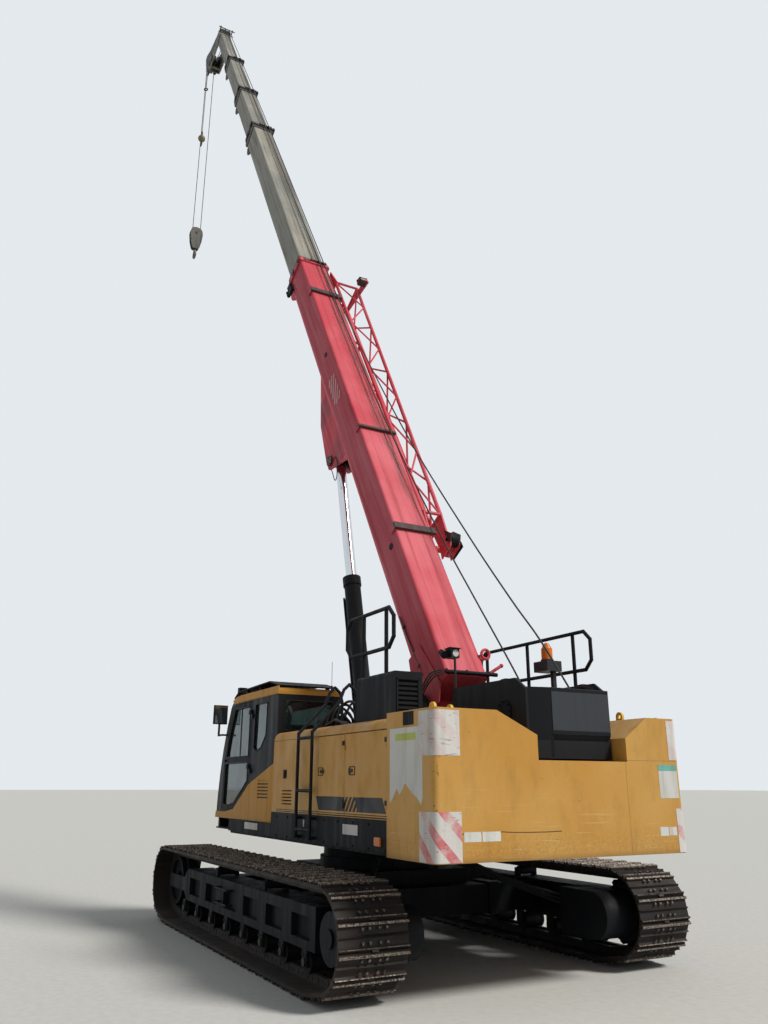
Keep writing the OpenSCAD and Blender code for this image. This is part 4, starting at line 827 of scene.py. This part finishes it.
def head_details():
    """Guide roller at the head, and on each collar a rope roller and bolted plates."""
    s, h = SECTION_ENDS[4] + GUIDE_S, section_top(4) + GUIDE_H - ROPE_R - 0.035
    roller = Shape(ON_BOOM)
    roller.pin(s, h, -0.15, 0.08, 0.035, 20)
    cheek = [(s - 0.05, h - 0.05), (s + 0.03, h - 0.03), (s + 0.03, h + 0.03), (s - 0.02, h + 0.03),
             (s - 0.09, h)]
    for y in (-0.16, 0.08):
        roller.prism(cheek, "y", y, y + 0.01)
    roller.piece("head_guide_roller", "section_5", "sheave")
    for i, body in enumerate(BOOM_BODIES[:4]):
        end, top, half = SECTION_ENDS[i] - COLLAR_L / 2, section_top(i) + COLLAR_T, section_w(i) / 2
        guide = Shape(ON_BOOM)
        guide.pin(end, top + 0.022, -0.2, 0.06, 0.016, 14)
        for y in (-0.21, 0.06):
            guide.box((end - 0.02, y, top), (end + 0.02, y + 0.01, top + 0.04), 0.003)
        guide.piece(f"rope_roller_{i + 1}", body, "sheave")
        lugs = Shape(ON_BOOM)
        for y in (-half - COLLAR_T - 0.014, half + COLLAR_T + 0.002):
            face, out = (y, -0.007) if y < 0 else (y + 0.012, 0.007)
            for low in (top - 0.1, top - 0.34):
                lugs.box((end - 0.045, y, low), (end + 0.045, y + 0.012, low + 0.08), 0.003)
                for k in (-0.025, 0.025):
                    for z in (low + 0.02, low + 0.06):
                        lugs.pin(end + k, z, face, face + out, 0.008, 6)
        for k in (-0.17, -0.1, 0.1, 0.17):
            lugs.box((end - 0.05, k - 0.025, top), (end + 0.02, k + 0.025, top + 0.008), 0.002)
        lugs.piece(f"collar_plates_{i + 1}", body, "sheave", slot="collar")


def falls():
    """The ropes that hang from the head."""
    lo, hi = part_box("hoist_ropes")
    block_lo, block_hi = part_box("hook_block")
    x, low = (block_lo.x + block_hi.x) / 2, lo.z + FALL_Y + ROPE_R
    left = [Vector((x, FALL_Y, hi.z + (low - hi.z) * k / 48)) for k in range(49)]
    right = [Vector((p.x, -p.y, p.z)) for p in left[::-1]]
    bend = [Vector((x, FALL_Y * math.cos(a), low - FALL_Y * math.sin(a))) for a in around(32)[1:16]]
    piece = line("hoist_fall_rope", None, "rope", left + bend + right, ROPE_R, 10)
    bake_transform(piece)
    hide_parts("hoist_ropes")
    lo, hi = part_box("aux_rope")
    x = (lo.x + hi.x) / 2
    ends = Vector((x, 0, hi.z)), Vector((x, 0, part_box("aux_hook")[1].z))
    path = [ends[0].lerp(ends[1], k / 24) for k in range(25)] + [Vector((x, 0, lo.z))]
    piece = line("aux_fall_rope", None, "rope", path, AUX_ROPE_R, 10)
    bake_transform(piece)
    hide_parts("aux_rope")


def limit_weight():
    """Ring round the auxiliary rope, with its chain."""
    share, drop, chain_top = 0.25, 0.6, 0.12
    axle = boom_point(AUX_S, 0, AUX_H)
    x = axle.x + AUX_R
    centre, reach = Vector((x, 0, axle.z - drop)), Vector((10, 0, 0))
    ring = Shape()
    ring.ring(centre, (0, 0.35, 1), 0.05, 0.018, 20, 10)
    piece = ring.piece("limit_switch_weight", None, "sheave", slot="hook_steel")
    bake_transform(piece)
    start = Vector((x - 0.07, 0, axle.z - chain_top))
    links = Shape()
    hang = [(x - 0.05, 0, axle.z - drop + 0.02), (x - 0.06, 0, axle.z - 0.3), start]
    links.tube(smooth_path(hang), 0.005, 6)
    piece = links.piece("limit_switch_chain", None, "sheave", slot="hook_steel")
    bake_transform(piece)


def collar_wraps():
    """Dark stiffening plates behind each collar and the guides' ears beside it."""
    for i in range(1, 4):
        end, top, half = SECTION_ENDS[i], section_top(i), section_w(i) / 2
        low = top - BASE_H + 2 * i * STEP_IN
        wrap = Shape(ON_BOOM)
        wrap.box((end - 0.26, -half - 0.012, top), (end - COLLAR_L, half + 0.012, top + 0.012), 0.003)
        wrap.box((end - 0.3, half, low + 0.03), (end - COLLAR_L, half + 0.014, top), 0.003)
        wrap.box((end - 0.3, -half - 0.014, low + 0.03), (end - COLLAR_L, -half, top), 0.003)
        out = half + COLLAR_T
        wrap.box((end - 0.11, -out - 0.05, top - 0.1), (end - 0.02, -out, top + 0.05), 0.008)
        wrap.box((end - 0.11, out, top - 0.1), (end - 0.02, out + 0.02, top + 0.035), 0.006)
        wrap.box((end - 0.12, -half, top + COLLAR_T), (end - 0.02, -half + 0.09, top + 0.06), 0.006)
        wrap.piece(f"collar_wrap_{i + 1}", f"section_{i + 1}", "collar")


def boom_fittings():
    end = Shape(ON_BOOM)
    end.pin(0.085, 0.57, -0.35, 0.27, 0.02, 14)
    for y in (-0.24, 0.0, 0.24):
        end.box((0.065, y - 0.012, 0.55), (0.125, y + 0.012, 0.57), 0.002)
    for s in (2.0, 6.0):
        for sign in (1, -1):
            end.pin(s, 0.367, sign * 0.249, sign * 0.256, 0.04, 20)
    for y in (0.252, -0.3):
        end.box((8.36, y, -0.01), (8.6, y + 0.048, 0.12), 0.01)
        end.round((8.42, y + 0.024, -0.05), (8.54, y + 0.024, -0.05), 0.03, 12)
    end.piece("boom_black_fittings", "boom", "black")
    red = Shape(ON_BOOM)
    red.ring((0.33, -0.295, 0.585), (0.5, 0, -0.866), 0.048, 0.016, 20)
    red.box((0.3, -0.3, 0.46), (0.36, -0.25, 0.54), 0.004)
    red.round((0.1, -0.27, 0.575), (0.16, -0.4, 0.63), 0.017, 12)
    red.ball((0.16, -0.4, 0.63), 0.022, 12)
    red.piece("boom_red_fittings", "boom", "red")
    pins = Shape(ON_BOOM)
    for side in (1, -1):
        pins.pin(LIFT_S, LIFT_H, side * 0.131, side * 0.161, 0.049, 24)
        pins.pin(LIFT_S, LIFT_H, side * 0.161, side * 0.182, 0.078, 28)
        for a in around(6):
            pins.pin(LIFT_S + 0.06 * math.cos(a), LIFT_H + 0.06 * math.sin(a), side * 0.182, side * 0.19,
                     0.009, 6)
    pins.piece("lift_pin_caps", "boom", "sheave")
    foot = Shape(ON_BOOM)
    for side in (1, -1):
        foot.pin(0, 0, side * 0.343, side * 0.352, 0.045, 20)
        foot.box((0.02, side * 0.347 - 0.005, -0.02), (0.16, side * 0.347 + 0.005, 0.02), 0.003)
    foot.piece("foot_pin_keepers", "upper", "black")


def boom_hoses():
    """Pipe along the web and three hoses that bend at the foot."""
    y, r = 0.262, 0.008
    pipe = Shape(ON_BOOM)
    pipe.tube(smooth_path([(0.3, y, 0.2), (0.5, y, 0.175), (0.8, y, 0.147), (1.15, y, 0.12)], 5), r)
    for s, h in ((0.42, 0.182), (0.98, 0.13)):
        pipe.box((s, 0.25, h - 0.022), (s + 0.03, 0.274, h + 0.022), 0.003)
    pipe.piece("boom_side_pipe", "boom", "rubber", sharp=80)
    for k in range(3):
        side = 0.345 + 0.008 * k
        start, end = Vector((-1.5 + 0.05 * k, side, 2.4)), boom_point(0.12 + 0.02 * k, y, 0.5)
        bend = [(-1.6 + 0.03 * k, side + 0.01, 2.5), (-1.74 + 0.02 * k, side, 2.6 + 0.02 * k)]
        piece = line(f"foot_hose_{k + 1}", None, "rubber", smooth_path([start, *bend, end]), r)
        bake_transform(piece)


def jib_fittings():
    cheek = [(1.95, 0.33), (2.28, 0.42), (2.22, 0.56), (2.08, 0.65), (1.96, 0.56)]
    guide = Shape(ON_BOOM)
    for y in (-0.585, -0.46):
        guide.prism(cheek, "y", y, y + 0.015)
    guide.piece("jib_foot_cheeks", "boom", "red")
    guide = Shape(ON_BOOM)
    guide.pin(2.07, 0.55, -0.565, -0.465, 0.085, 24)
    guide.pin(2.07, 0.55, -0.6, -0.43, 0.02, 12)
    guide.box((1.93, -0.6, 0.36), (2.02, -0.585, 0.6), 0.004)
    guide.piece("jib_foot_roller", "boom", "black")
    tip = Shape(ON_BOOM)
    tip.pin(8.03, 0.76, -0.73, -0.62, 0.075, 24)
    tip.pin(8.03, 0.76, -0.775, -0.58, 0.018, 12)
    for s, y, h in ((8.25, -0.335, 0.3), (2.65, -0.345, 0.32)):
        tip.pin(s, h, y - 0.02, y + 0.02, 0.05, 20)
    tip.piece("jib_tip_roller", "boom", "sheave")


def rod_cable():
    loop = [(1.17, 0.165, 5.88), (1.06, 0.17, 5.98), (0.97, 0.17, 5.84), (0.99, 0.165, 5.66),
            (1.06, 0.16, 5.63), (1.12, 0.165, 5.74), (1.18, 0.165, 5.84)]
    line("rod_cable", "boom", "rubber", smooth_path(loop), 0.006, 6)


def head_clutter():
    s, top = SECTION_ENDS[4], section_top(4)
    bits = Shape(ON_BOOM)
    bits.pin(s - 0.04, top + 0.1, -0.26, 0.2, 0.013, 10)
    bits.pin(s - 0.34, top + 0.035, -0.2, 0.24, 0.012, 10)
    for y in (-0.2, 0.14):
        bits.box((s - 0.07, y, top), (s - 0.01, y + 0.025, top + 0.13), 0.004)
    bits.box((s - 0.02, -0.13, top + 0.02), (s + 0.08, -0.02, top + 0.05), 0.005)
    for y in (0.17, -0.19):
        bits.box((HEAD_S - 0.62, y, HEAD_H + 0.2), (HEAD_S - 0.3, y + 0.02, HEAD_H + 0.34), 0.006)
        bits.pin(HEAD_S - 0.45, HEAD_H + 0.1, y, y + 0.02, 0.06, 20)
    bits.piece("head_brackets", "section_5", "collar")


# Plates, stickers and lamps on the upper structure; every plate is blank
def plates():
    t = 0.0015
    side = CW_SIDE + t
    plate = Shape()
    torn = [(-3.08, 1.5), (-3.05, 1.45), (-3.0, 1.5), (-2.93, 1.53), (-2.87, 1.57), (-2.81, 1.61),
            (-2.77, 1.56), (-2.72, 1.52), (-2.68, 1.57), (-2.62, 1.5), (-2.565, 1.45), (-2.565, 2.035),
            (-3.08, 2.035)]
    plate.prism(torn, "y", CW_SIDE, side)
    for y0, y1, z0, z1 in ((0.88, 1.035, 1.19, 1.26), (0.7, 0.87, 1.19, 1.26), (-1.244, -1.022, 1.49, 1.768),
                           (-1.079, -0.98, 1.186, 1.258), (-1.176, -1.086, 1.188, 1.256)):
        plate.box((CW_REAR - t, y0, z0), (CW_REAR, y1, z1))
    for x0, x1, z0, z1 in ((-1.95, -1.655, 1.178, 1.262), (0.51, 0.93, 1.115, 1.185),
                           (-0.79, -0.76, 1.2, 1.27)):
        plate.box((x0, SIDE_Y, z0), (x1, SIDE_Y + t, z1))
    plate.piece("blank_plates", "upper", "plate")
    header = Shape()
    header.box((-2.98, side, 1.935), (-2.66, side + t, 1.99))
    header.piece("label_header", "upper", "green")
    header = Shape()
    header.box((CW_REAR - 2 * t, -1.244, 1.72), (CW_REAR - t, -1.022, 1.768))
    header.piece("far_label_header", "upper", "teal")


def hazard_films():
    """Striped films round the counterweight's rear corners, in two rows."""
    r, t, front = 0.045, 0.0028, -3.025
    film = Shape()
    for z0, z1, right in ((1.81, 2.15, 1.165), (1.05, 1.405, 1.19)):
        film.box((front, CW_SIDE, z0), (CW_REAR + r, CW_SIDE + t, z1))
        film.box((CW_REAR - t, 1.055, z0), (CW_REAR, CW_SIDE - r, z1))
        film.box((CW_REAR - t, -CW_SIDE + r, z0), (CW_REAR, -right, z1))
        film.box((CW_REAR + r, -CW_SIDE - t, z0), (front, -CW_SIDE, z1))
        for sign in (1, -1):
            arcs = [[(CW_REAR + r - reach * math.cos(a), sign * (CW_SIDE - r + reach * math.sin(a)))
                     for a in around(24)[:7]] for reach in (r + t, r)]
            film.prism(arcs[0] + arcs[1][::-1], "z", z0, z1)
    film.piece("hazard_films", "upper", "hazard")


def vents_and_markers():
    grid = Shape()
    for k in range(4):
        grid.box((-2.945 + k * 0.04, CW_SIDE, 2.06), (-2.92 + k * 0.04, CW_SIDE + 0.004, 2.15), 0.001)
    grid.box((-2.952, CW_SIDE, 2.052), (-2.783, CW_SIDE + 0.002, 2.158))
    grid.piece("vent_grid", "upper", "black")
    marker = Shape()
    for y in (SIDE_Y, -SIDE_Y - 0.018):
        marker.box((-2.385, y, 1.115), (-2.275, y + 0.018, 1.185), 0.006)
    marker.piece("side_markers", "upper", "amber")


def winch_cover():
    """Slanting plate that closes the winch box's left rear corner."""
    cover = Shape()
    outline = [(-3.098, -0.002), (-3.09, -0.002), (-3.022, 0.244), (-3.03, 0.244)]
    cover.prism(outline, "z", 1.83, 2.4)
    cover.box((-3.106, -0.64, 2.37), (-3.102, -0.005, 2.395), 0.001)
    cover.box((-3.106, -0.64, 2.015), (-3.102, -0.005, 2.04), 0.001)
    cover.piece("winch_corner_cover", "upper", "black")
    flap = Shape()
    flap.prism([(-3.096, 2.008), (-3.104, 2.008), (-3.0, 1.8), (-2.992, 1.8)], "y", -0.64, 0.0)
    flap.piece("winch_lower_flap", "upper", "black")
    mesh = Shape()
    x = COOLER_REAR_X
    for z in (2.2, 2.49):
        mesh.box((x - 0.008, 0.83, z), (x, 1.07, z + 0.018), 0.002)
    for y in (0.83, 1.052):
        mesh.box((x - 0.008, y, 2.2), (x, y + 0.018, 2.5), 0.002)
    mesh.piece("cooler_grille_frame", "upper", "black")


def hood_clutter():
    """Hoses looped on the hood between the cab's rear wall and the cooler."""
    z = HOOD_Z
    hoses = Shape()
    for k in range(4):
        x, y, rise = -0.5 - 0.06 * k, 0.94 - 0.03 * k, 0.03 * k
        hoses.tube(smooth_path([(x + 0.12, y, z - 0.02), (x + 0.04, y - 0.03, z + 0.14 + rise),
                                (x - 0.06, y - 0.12, z + 0.2 + rise), (x - 0.1, y - 0.24, z + 0.1),
                                (x - 0.08, y - 0.34, z - 0.02)]), 0.014)
    for k in range(3):
        y = 0.78 + 0.07 * k
        hoses.tube(smooth_path([(-1.0, y, z + 0.02), (-0.8, y + 0.02, z + 0.05 + 0.02 * k),
                                (-0.6, y - 0.02, z + 0.09), (-0.4, y, z + 0.03)]), 0.013)
    hoses.piece("hood_clutter", "upper", "rubber", sharp=80)


def under_hoses():
    """Travel-motor hoses between the turntable and the side frames."""
    for side, sign in (("left", 1), ("right", -1)):
        hoses = Shape()
        for k in range(3):
            path = [(-0.5 - 0.05 * k, sign * 0.3, 0.9), (-0.9, sign * (0.5 + 0.03 * k), 0.86 - 0.04 * k),
                    (-1.35, sign * (0.85 + 0.03 * k), 0.66 - 0.03 * k), (-1.8, sign * 1.12, 0.56 - 0.04 * k),
                    (-2.05, sign * 1.2, 0.5 - 0.03 * k)]
            hoses.tube(smooth_path(path), 0.015)
        hoses.piece(f"travel_hoses_{side}", "undercarriage", "rubber", sharp=80)


def latches_and_bolts():
    x = -0.247
    trim = Shape()
    trim.box((x - 0.045, SIDE_Y, 1.655), (x + 0.045, SIDE_Y + 0.006, 1.745), 0.003)
    trim.box((x - 0.02, SIDE_Y + 0.006, 1.67), (x + 0.02, SIDE_Y + 0.016, 1.73), 0.003)
    trim.piece("hood_latch", "upper", "black")
    y = SIDE_Y + 0.002
    for body, x in (("front_service_door", -1.15), ("rear_service_door", -1.83)):
        latch = Shape()
        latch.tube([(x - 0.05, y, 1.68), (x + 0.05, y, 1.68), (x + 0.05, y, 1.75), (x - 0.05, y, 1.75)],
                   0.005, 6, closed=True)
        latch.pin(x, 1.715, y, SIDE_Y + 0.008, 0.012, 12)
        latch.piece(body + "_latch", body, "rubber", slot="paint_black")
    bolts = Shape()
    for sign in (1, -1):
        for x in [-2.45 + 0.3 * k for k in range(9)]:
            for z in (1.28, 1.09) if sign < 0 or x > -2.3 else (1.09,):
                bolts.pin(x, z, sign * (SIDE_Y - 0.001), sign * (SIDE_Y + 0.008), 0.011, 6)
    for x in (-3.15, -2.95, -2.75, -2.6):
        for y in (-1.15, 1.15):
            bolts.round((x, y, CW_TOP), (x, y, CW_TOP + 0.012), 0.016, 6)
    bolts.piece("side_bolts", "upper", "black")


def hood_box():
    """Junction box on the hood and its two hoses."""
    z = HOOD_Z + 0.001
    box = Shape()
    box.box((-0.52, 0.66, z), (-0.2, 0.9, z + 0.13), 0.012)
    box.box((-0.46, 0.7, z + 0.13), (-0.3, 0.86, z + 0.17), 0.008)
    box.piece("junction_box", "upper", "black")
    hose = Shape()
    for path in ([(-0.36, 0.7, z + 0.1), (-0.34, 0.6, z + 0.22), (-0.3, 0.5, z + 0.1),
                  (-0.28, 0.47, z - 0.25), (-0.25, 0.44, 1.9)],
                 [(-0.44, 0.7, z + 0.1), (-0.46, 0.6, z + 0.3), (-0.5, 0.52, z + 0.2),
                  (-0.5, 0.46, z - 0.2), (-0.45, 0.43, 1.85)]):
        hose.tube(smooth_path(path), 0.014)
    hose.piece("hood_hoses", "upper", "rubber", sharp=80)


def lamps():
    """Beacon, aerial, mirror glass, and the fittings and lenses of the lamps."""
    x, y, z = BEACON_X, BEACON_Y, BEACON_Z
    dome = Shape()
    dome.round((x, y, 2.89), (x, y, 2.925), 0.053, 20, 0.036)
    dome.ball((x, y, 2.918), 0.034, 16)
    dome.piece("beacon_dome", "upper", "amber")
    base = Shape()
    base.round((x, y, z), (x, y, 2.782), 0.064, 20)
    base.piece("beacon_base", "upper", "rubber")
    antenna = Shape()
    antenna.round((0.2, 0.54, CAB_Z1), (0.2, 0.54, CAB_Z1 + 0.05), 0.012, 10)
    antenna.round((0.2, 0.54, CAB_Z1 + 0.05), (0.2, 0.54, CAB_Z1 + 0.33), 0.003, 6)
    antenna.piece("antenna", "upper", "rubber")
    glass = Shape()
    glass.box((1.981, CAB_Y1 - 0.01, 2.35), (1.9845, CAB_Y1 + 0.15, 2.57))
    glass.piece("mirror_face", "upper", "mirror")
    lamp = Shape()
    lamp.pin(-1.96, 2.8, 0.3, 0.345, 0.012, 10)
    lamp.round((-2.0, 0.37, 2.79), (-1.93, 0.37, 2.83), 0.04, 18, 0.028)
    lamp.prism([(-2.05, 2.86), (-2.0, 2.875), (-1.9, 2.868), (-1.9, 2.86)], "y", 0.2, 0.31)
    for k in range(4):
        lamp.box((-1.99 + 0.02 * k, 0.3, 2.78), (-1.985 + 0.02 * k, 0.312, 2.85))
    lamp.piece("post_lamp_fittings", "upper", "black")
    lens = Shape()
    lens.round((-2.021, 0.255, 2.815), (-2.016, 0.255, 2.815), 0.034, 18)
    lens.box((1.72, CAB_Y1 - 0.142, 2.732), (1.724, CAB_Y1 - 0.058, 2.776))
    lens.piece("work_lamp_lens", "upper", "lens")


def belt():
    """The belt's length, and a function for the place, height and slope along it."""
    ramp = math.hypot(HALF_BASE - FLAT_L / 2, WHEEL_Z - BELT_Z)
    ramp_l = math.sqrt(ramp ** 2 - BELT_R ** 2)
    tilt = math.atan2(WHEEL_Z - BELT_Z, HALF_BASE - FLAT_L / 2) - math.asin(BELT_R / ramp)
    arc = BELT_R * (math.pi - tilt)
    total = FLAT_L + 2 * ramp_l + 2 * arc + 2 * HALF_BASE

    def at(s):
        s = s % total
        if s < FLAT_L:
            return TRACK_MID - FLAT_L / 2 + s, BELT_Z, 0.0
        s -= FLAT_L
        if s < ramp_l:
            return TRACK_MID + FLAT_L / 2 + s * math.cos(tilt), BELT_Z + s * math.sin(tilt), tilt
        s -= ramp_l
        if s < arc:
            a = tilt + s / BELT_R
            return TRACK_MID + HALF_BASE + BELT_R * math.sin(a), WHEEL_Z - BELT_R * math.cos(a), a
        s -= arc
        if s < 2 * HALF_BASE:
            return TRACK_MID + HALF_BASE - s, WHEEL_Z + BELT_R, math.pi
        s -= 2 * HALF_BASE
        if s < arc:
            a = math.pi + s / BELT_R
            return TRACK_MID - HALF_BASE + BELT_R * math.sin(a), WHEEL_Z - BELT_R * math.cos(a), a
        s = arc + ramp_l - s
        return TRACK_MID - FLAT_L / 2 - s * math.cos(tilt), BELT_Z + s * math.sin(tilt), -tilt

    return total, at


def chain(side, sign):
    """Link pins, slots and shoe bolts; the shoes themselves are in the frame."""
    total, at = belt()
    links, bolts, slots = Shape(), Shape(), Shape()
    for i in range(SHOE_N):
        x, z, a = at((i + 0.5) * total / SHOE_N)
        along, inward = Vector((math.cos(a), 0, math.sin(a))), Vector((-math.sin(a), 0, math.cos(a)))
        here = Vector((x, 0, z))
        for rail in (-0.075, 0.075):
            for out in (-0.0205, 0.0205):
                y = sign * TRACK_Y + rail + out
                push = 0.003 if out > 0 else -0.003
                for fore, r, sides in ((0.055, 0.026, 12), (-0.05, 0.014, 8)):
                    p = here + along * fore + inward * 0.052
                    links.pin(p.x, p.z, y, y + push, r, sides)
        for across in (-0.105, -0.045, 0.045, 0.105):
            for fore in (-0.05, 0.045):
                p = here + along * fore - inward * 0.0135 + Vector((0, sign * TRACK_Y + across, 0))
                bolts.round(p, p - inward * 0.012, 0.013, 6)
        slots.slab(here + along * 0.094 - inward * 0.0125 + Vector((0, sign * TRACK_Y, 0)), along,
                   Vector((0, 1, 0)), (0.03, 0.055, 0.004))
    links.piece(f"chain_pins_{side}", "undercarriage", "track")
    slots.piece(f"shoe_slots_{side}", "undercarriage", "rubber", slot="track_steel")
    bolts.piece(f"shoe_bolts_{side}", "undercarriage", "track")


def frame_fittings(side, sign):
    face = sign * (TRACK_Y + FRAME_HALF)
    caps = Shape()
    for x in [TRACK_MID - 1.79 + k * 3.58 / 7 for k in range(8)]:
        caps.pin(x, ROLLER_Z, face, face + sign * 0.012, 0.034, 14)
        for k in (-0.03, 0.03):
            caps.pin(x + k, ROLLER_Z + 0.055, face, face + sign * 0.01, 0.009, 6)
    caps.piece(f"roller_caps_{side}", "undercarriage", "sheave")
    steps = Shape()
    out = face + sign * 0.07
    for z in (0.42, 0.56):
        steps.tube([(0.1, face, z), (0.1, out, z), (0.5, out, z), (0.5, face, z)], 0.012)
    steps.piece(f"frame_steps_{side}", "undercarriage", "black", slot="chassis")


glazing()
ropes()
head_ropes()
drum_coils()
head_details()
falls()
limit_weight()
collar_wraps()
boom_fittings()
boom_hoses()
jib_fittings()
rod_cable()
head_clutter()
plates()
hazard_films()
vents_and_markers()
winch_cover()
hood_clutter()
under_hoses()
latches_and_bolts()
hood_box()
lamps()
for side, sign in (("left", 1), ("right", -1)):
    chain(side, sign)
    frame_fittings(side, sign)


# Stage, light and camera
def stage():
    floor = Shape()
    floor.box((-250, -250, -0.02), (250, 250, 0.0))
    g = Graph("pale_floor")
    speckle = g.noise(g.place, 14, 5)
    colour = g.mix(g.rise(speckle, 0.3, 0.8), rgb(206, 206, 202), rgb(218, 218, 214))
    M["floor"] = g.finish(colour, 0.9)
    floor.piece("floor", None, "floor")
    world = bpy.data.worlds.new("studio")
    bpy.context.scene.world = world
    g = Graph("studio", world)
    rays = g.node("LightPath").outputs
    seen = g.most(g.most(rays["Is Camera Ray"], rays["Is Glossy Ray"]), rays["Is Transmission Ray"])
    blend = g.node("MixShader")
    g.feed(blend.inputs[0], seen)
    for i, colour, strength in ((1, (0.92, 0.96, 1.0, 1), 0.25), (2, (0.82, 0.86, 0.9, 1), 0.95)):
        light = g.node("Background")
        light.inputs["Color"].default_value = colour
        light.inputs["Strength"].default_value = strength
        g.feed(blend.inputs[i], light.outputs[0])
    g.feed(g.node("OutputWorld").inputs[0], blend.outputs[0])
    sun = bpy.data.lights.new("key", "SUN")
    sun.energy = 2.7
    sun.angle = math.radians(12)
    sun.color = (1.0, 0.97, 0.92)
    key = bpy.data.objects.new("key", sun)
    key.rotation_euler = Vector((-0.58, -0.42, 0.7)).to_track_quat("Z", "Y").to_euler()
    bpy.context.scene.collection.objects.link(key)


def camera():
    """The photograph's view, fitted to the tracks, counterweight and boom."""
    position = (-8.772, 4.728, 1.597)
    yaw, pitch, roll = -28.552, 18.255, 0.146
    focal_px, image_h, film = 826.7, 1024, 36.0
    data = bpy.data.cameras.new("view")
    data.lens = focal_px / image_h * film
    data.sensor_width = film
    data.clip_end = 300
    obj = bpy.data.objects.new("view", data)
    obj.location = position
    aim = Matrix.Rotation(math.radians(yaw - 90), 4, "Z")
    tip = Matrix.Rotation(math.radians(90 + pitch), 4, "X")
    obj.rotation_euler = (aim @ tip @ Matrix.Rotation(math.radians(roll), 4, "Z")).to_euler()
    bpy.context.scene.collection.objects.link(obj)
    bpy.context.scene.camera = obj


stage()
camera()
bpy.context.scene.view_settings.view_transform = "Standard"
